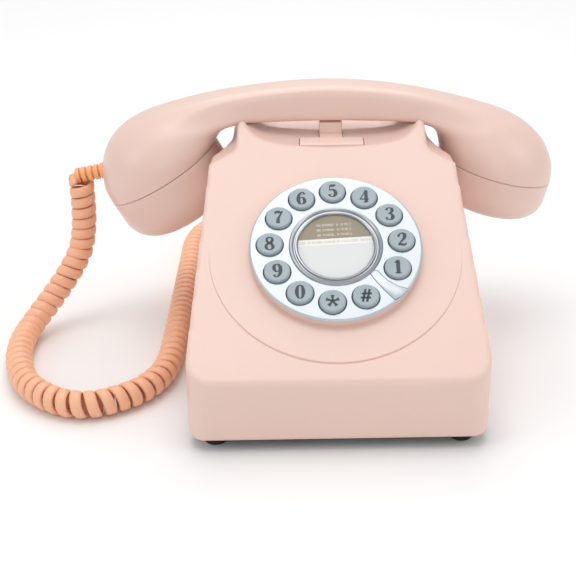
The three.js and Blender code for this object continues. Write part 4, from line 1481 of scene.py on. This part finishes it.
@dataclass
class Dial:
    """Push keys in a ring: plate on its pedestal, keys and their characters, centre ring, card and lens."""

    key_circle: float = 31.8 * MM
    key_radius: float = 6.3 * MM
    key_step: float = 29
    first_key: float = -24.5
    key_proud: float = 1.6 * MM
    plate: float = 1.7 * MM
    face: float = 5 * MM
    ring: Pair = (22.6 * MM, 18.4 * MM)
    names: tuple[str, ...] = ("1", "2", "3", "4", "5", "6", "7", "8", "9", "0", "star", "hash")
    glyph: Glyph = field(default_factory=Glyph)

    def spot(self, index: int) -> Matrix:
        """Place of a key on the dial."""
        angle = radians(self.first_key + self.key_step * index)
        return DIAL @ Matrix.Translation((self.key_circle * cos(angle), self.key_circle * sin(angle), 0))

    def tongue(self, grow: float) -> Outline:
        """Outline of the finger stop, (right, up) on the dial, grown by a distance."""
        line = [(15.9, -16.2), (18.6, -20.6), (21.4, -24.4), (26.6, -30.6), (30.0, -28.6), (33.2, -24.8),
                (28.1, -23.2), (23.7, -19.9), (21.2, -17.2), (19.5, -14.7), (17.4, -14.1)]
        return [(x * MM, y * MM) for x, y in offset(line, -grow)]

    def build(self, plastic: bpy.types.Material) -> None:
        """Makes every piece of the dial."""
        self.build_plate(plastic)
        self.build_keys()
        self.build_centre()

    def build_plate(self, plastic: bpy.types.Material) -> None:
        """Pedestal in the colour of the case, plate, and the finger stop let into it.

        Args:
            plastic: Material of the pink plastic.
        """
        silver = Enamel("silver_paint", srgb(192, 199, 204)).material()
        r, t = DIAL_RADIUS, self.plate
        low = -self.face
        seat = Bench.turned("dial_pedestal", rounded(
            [(r - 3 * MM, low - 0.4 * MM), (r - 0.5 * MM, low - 0.4 * MM), (r - 0.9 * MM, -t),
             (r - 3 * MM, -t)],
            [0, 0, 0.5 * MM, 0]), 128, closed=True)
        fitted(Bench.placed(seat, DIAL), Body.BASE.value, "pink_shell", plastic)
        plate = Bench.turned("silver_dial_plate", rounded(
            [(self.ring[0] - 1.6 * MM, -t), (r - 0.7 * MM, -t), (r, -t + 0.5 * MM), (r - 0.9 * MM, 0),
             (self.ring[0] - 1.6 * MM, 0)], [0, 0.3 * MM, 0.4 * MM, 0.9 * MM, 0]), 160, closed=True)
        pins = [Bench.placed(Bench.turned("key_hole",
                                          [(0, -3 * MM), (6.75 * MM, -3 * MM), (6.75 * MM, -0.35 * MM),
                                          (7.1 * MM, MM), (0, MM)], 48),
                DIAL.inverted() @ self.spot(i)) for i in range(len(self.names))]
        groove = Bench.pushed("groove", self.tongue(0.3), Along.Z, -0.5 * MM, MM)
        Bench.combined(plate, Bench.joined("key_holes", pins), groove)
        fitted(Bench.placed(plate, DIAL), Body.BASE.value, "silver_paint", silver, "dial_plate", angle=25)
        stop = Bench.pushed("finger_stop_tongue", self.tongue(0), Along.Z, -0.5 * MM, 0.12 * MM)
        Bench.bevelled(stop, 0.12 * MM, 2)
        fitted(Bench.placed(stop, DIAL), Body.BASE.value, "silver_paint", silver, "finger_stop")

    def build_keys(self) -> None:
        """Twelve keys with a turned-down edge and a shallow dish, and their characters."""
        grey = Moulding("key_grey", srgb(150, 164, 171), 0.34, 0.2, drift=0.015).material()
        ink = Moulding("key_ink", srgb(58, 62, 70), 0.5, 0.0).material()
        r, top = self.key_radius, self.key_proud
        foot = -6 * MM
        profile = [(0, foot), (r + 0.8 * MM, foot), (r + 0.8 * MM, foot + 0.8 * MM), (r, foot + 0.8 * MM),
                   (r, top - 0.9 * MM), *arc((r - 0.9 * MM, top - 0.9 * MM), 0.9 * MM, 15, 80, 4),
                   (r - 1.5 * MM, top - 0.06 * MM), (r - 3 * MM, top - 0.2 * MM), (0, top - 0.25 * MM)]
        blank = Bench.turned("key_blank", profile, 56)
        for index, name in enumerate(self.names):
            body, spot = f"key_{name}_body", self.spot(index)
            key = Bench.copied(blank, f"push_key_{name}", spot)
            fitted(key, body, "key_grey", grey, f"key_{name}", angle=30)
            mark = Bench.placed(self.glyph.build(name, 0.16 * MM),
                                spot @ Matrix.Translation((0, 0, top - 0.3 * MM)))
            mark.name = mark.data.name = f"legend_{name}"
            fitted(mark, body, "key_grey", ink, angle=20)
        bpy.data.objects.remove(blank, do_unlink=True)

    def build_centre(self) -> None:
        """Plated double ring, the card in it and the lens over the card."""
        outer, inner = self.ring
        chrome = Plating("bright_trim", srgb(172, 175, 179), 0.24, DIAL).material()
        profile = [(0, -4.4 * MM), (outer, -4.4 * MM), (outer, 0.3 * MM), (outer - 0.5 * MM, 0.9 * MM),
                   (outer - 1.3 * MM, 1.1 * MM), (outer - 1.9 * MM, 0.6 * MM), (outer - 2.2 * MM, -0.1 * MM),
                   (outer - 2.6 * MM, -0.1 * MM), (outer - 3.0 * MM, 0.8 * MM), (inner + 0.6 * MM, 0.9 * MM),
                   (inner, 0.4 * MM), (inner, -1.5 * MM), (0, -1.5 * MM)]
        ring = Bench.placed(Bench.turned("plated_centre_ring", profile, 128), DIAL)
        fitted(ring, Body.BASE.value, "bright_trim", chrome, "centre_ring", angle=25)
        rim = inner - 0.15 * MM
        card = Bench.turned("printed_number_card",
                            [(0, -1.2 * MM), (rim, -1.2 * MM), (rim, -0.8 * MM), (0, -0.8 * MM)], 96)
        fitted(Bench.placed(card, DIAL), Body.BASE.value, "card", PrintedCard("card", DIAL).material(),
               "number_card")
        lens = Bench.turned("domed_card_lens", [
            (0, -0.4 * MM), (rim, -0.4 * MM),
            *((rim * s / 6, (0.15 + 0.35 * (1 - (s / 6) ** 2)) * MM) for s in range(6, -1, -1))], 96)
        fitted(Bench.placed(lens, DIAL), Body.BASE.value, "clear",
               Glazing("clear", (0.95, 0.97, 0.98), 0.1).material(), "card_lens")


# ---------------------------------------------------------------- underside, back and inside

@dataclass
class Fittings:
    """Small pieces that are modelled again, and the finishes of the CAD pieces that stay."""

    foot_radius: float = 5.6 * MM

    def build(self, highlight_pink: bpy.types.Material) -> Piece:
        """Makes the small pieces, dresses the CAD pieces and returns the plug.

        Args:
            highlight_pink: Material of the plunger, a pink painted lighter than the case as a painted
                highlight on its up-facing pad.

        Returns:
            The plug.
        """
        self.feet()
        self.plunger(highlight_pink)
        plug = self.plug()
        self.dress()
        return plug

    def feet(self) -> None:
        """Four rubber feet with a dished tread and a moulded step."""
        rubber = Pliant("rubber", (0.008, 0.008, 0.0085), 0.7, (0.12, 0.115, 0.11), 0.06).material()
        r = self.foot_radius
        for number in range(1, 5):
            node = f"foot_{number}"
            low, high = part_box(node)
            spot = middle(node)
            h = high[2] - low[2]
            profile = [(0, 0.5 * MM), (r - 3 * MM, 0.4 * MM), (r - 2.2 * MM, 0), (r - 1.2 * MM, 0),
                       *arc((r - 1.2 * MM, 1.2 * MM), 1.2 * MM, -70, 0, 4), (r - 0.5 * MM, h - 1.2 * MM),
                       (r, h - MM), (r, h), (0, h)]
            foot = Bench.turned(f"rubber_foot_{number}", profile, 40)
            fitted(Bench.placed(foot, Matrix.Translation((spot.x, spot.y, low[2]))), Body.BASE.value,
                   "rubber",
                   rubber, node)

    def plunger(self, highlight_pink: bpy.types.Material) -> None:
        """Hook plunger: its pad, riser, stem and flange, with softened edges.

        Args:
            highlight_pink: Material of the plunger, a pink painted lighter than the case as a painted
                highlight on its up-facing pad.
        """
        low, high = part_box("plunger_bar")
        saddle = 109.5 * MM
        pad = Bench.block("hook_plunger", (low[0], high[0]), (low[1], 38 * MM),
                          (saddle - 0.9 * MM, saddle + 1.2 * MM))
        arm = Bench.block("arm", (-6 * MM, 6 * MM), (37 * MM, high[1]),
                          (saddle - 0.9 * MM, saddle + 1.2 * MM))
        riser = Bench.block("riser", (-6 * MM, 6 * MM), (46 * MM, high[1]), (saddle - 0.9 * MM, high[2]))
        stem = Bench.block("stem", (-5 * MM, 5 * MM), (40 * MM, 50 * MM), (low[2], saddle))
        flange = Bench.block("flange", (-8 * MM, 8 * MM), (37 * MM, 53 * MM), (low[2], low[2] + 2.5 * MM))
        Bench.combined(pad, arm, riser, stem, flange, cut=Cut.JOIN)
        Bench.bevelled(pad, 0.5 * MM, 3)
        # The whole plunger is painted a lighter pink than the case: a painted highlight for its up-facing
        # pad.
        fitted(pad, Body.PLUNGER.value, "pale_pink", highlight_pink, "plunger_bar")

    def plug(self) -> Piece:
        """Modular plug of the cord: a block with softened edges.

        Returns:
            The plug.
        """
        low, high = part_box("cord_plug")
        body = Bench.block("modular_plug", (low[0], high[0]), (low[1], high[1]), (low[2], high[2]))
        Bench.bevelled(body, 0.4 * MM, 2)
        clear = Glazing("plug_clear", (0.85, 0.9, 0.92), 0.45).material()
        return fitted(body, Body.BASE.value, "clear", clear, "cord_plug")

    def dress(self) -> None:
        """Gives each CAD piece that stays its material."""
        steel = Plating("steel", srgb(176, 178, 180), 0.3).material()
        black = Moulding("black_moulding", (0.018, 0.018, 0.02), 0.55, 0.0, 1.4e-5, 0.1).material()
        board = Laminate("circuit_board", (0.012, 0.09, 0.035)).material()
        silicone = Pliant("silicone", srgb(200, 202, 198), 0.6, scatter=0.2).material()
        dress = {
            steel: ("base_screw_", "carrier_screw_", "plunger_spring", "hook_bracket", "line_transformer",
                    "ballast_plate", "handle_weight", "receiver_capsule", "microphone_capsule"),
            black: ("base_plate", "hook_microswitch", "dial_carrier", "reservoir_capacitor", "ringer",
                    "handset_jack", "line_jack", "ringer_switch_body", "ringer_switch_knob"),
            board: ("main_board", "keypad_board"), silicone: ("keypad_membrane",)}
        for name, node in frame["nodes"].items():
            for material, starts in dress.items():
                if name.startswith(starts) and not node.hide_render:
                    node.data.materials.clear()
                    node.data.materials.append(material)


# ---------------------------------------------------------------- all of it

def main() -> None:
    """Builds the camera and cord first, then the other pieces."""
    logging.basicConfig(level=logging.INFO, format="%(message)s")
    Studio().build()
    shell = Moulding("pink_shell", srgb(230, 199, 187), 0.36, scatter=0.06).material()
    # The plunger's pink is painted lighter than the shell: a painted highlight for the pad that faces up.
    highlight_pink = Moulding("pale_pink", srgb(244, 214, 202), 0.42).material()
    vinyl = Pliant("orange_boot", srgb(246, 178, 120), 0.4, scatter=0.1).material()
    fittings, handset = Fittings(), Handset()
    plug = fittings.build(highlight_pink)
    boot, end, axis = handset.boot(vinyl)
    CurlyCord().build(end, axis, [boot, plug])
    CaseShell().build(shell)
    handset.shell(shell)
    handset.cap(handset.mouth, shell)
    handset.cap(handset.ear, shell)
    Dial().build(shell)


if __name__ == "__main__":
    main()
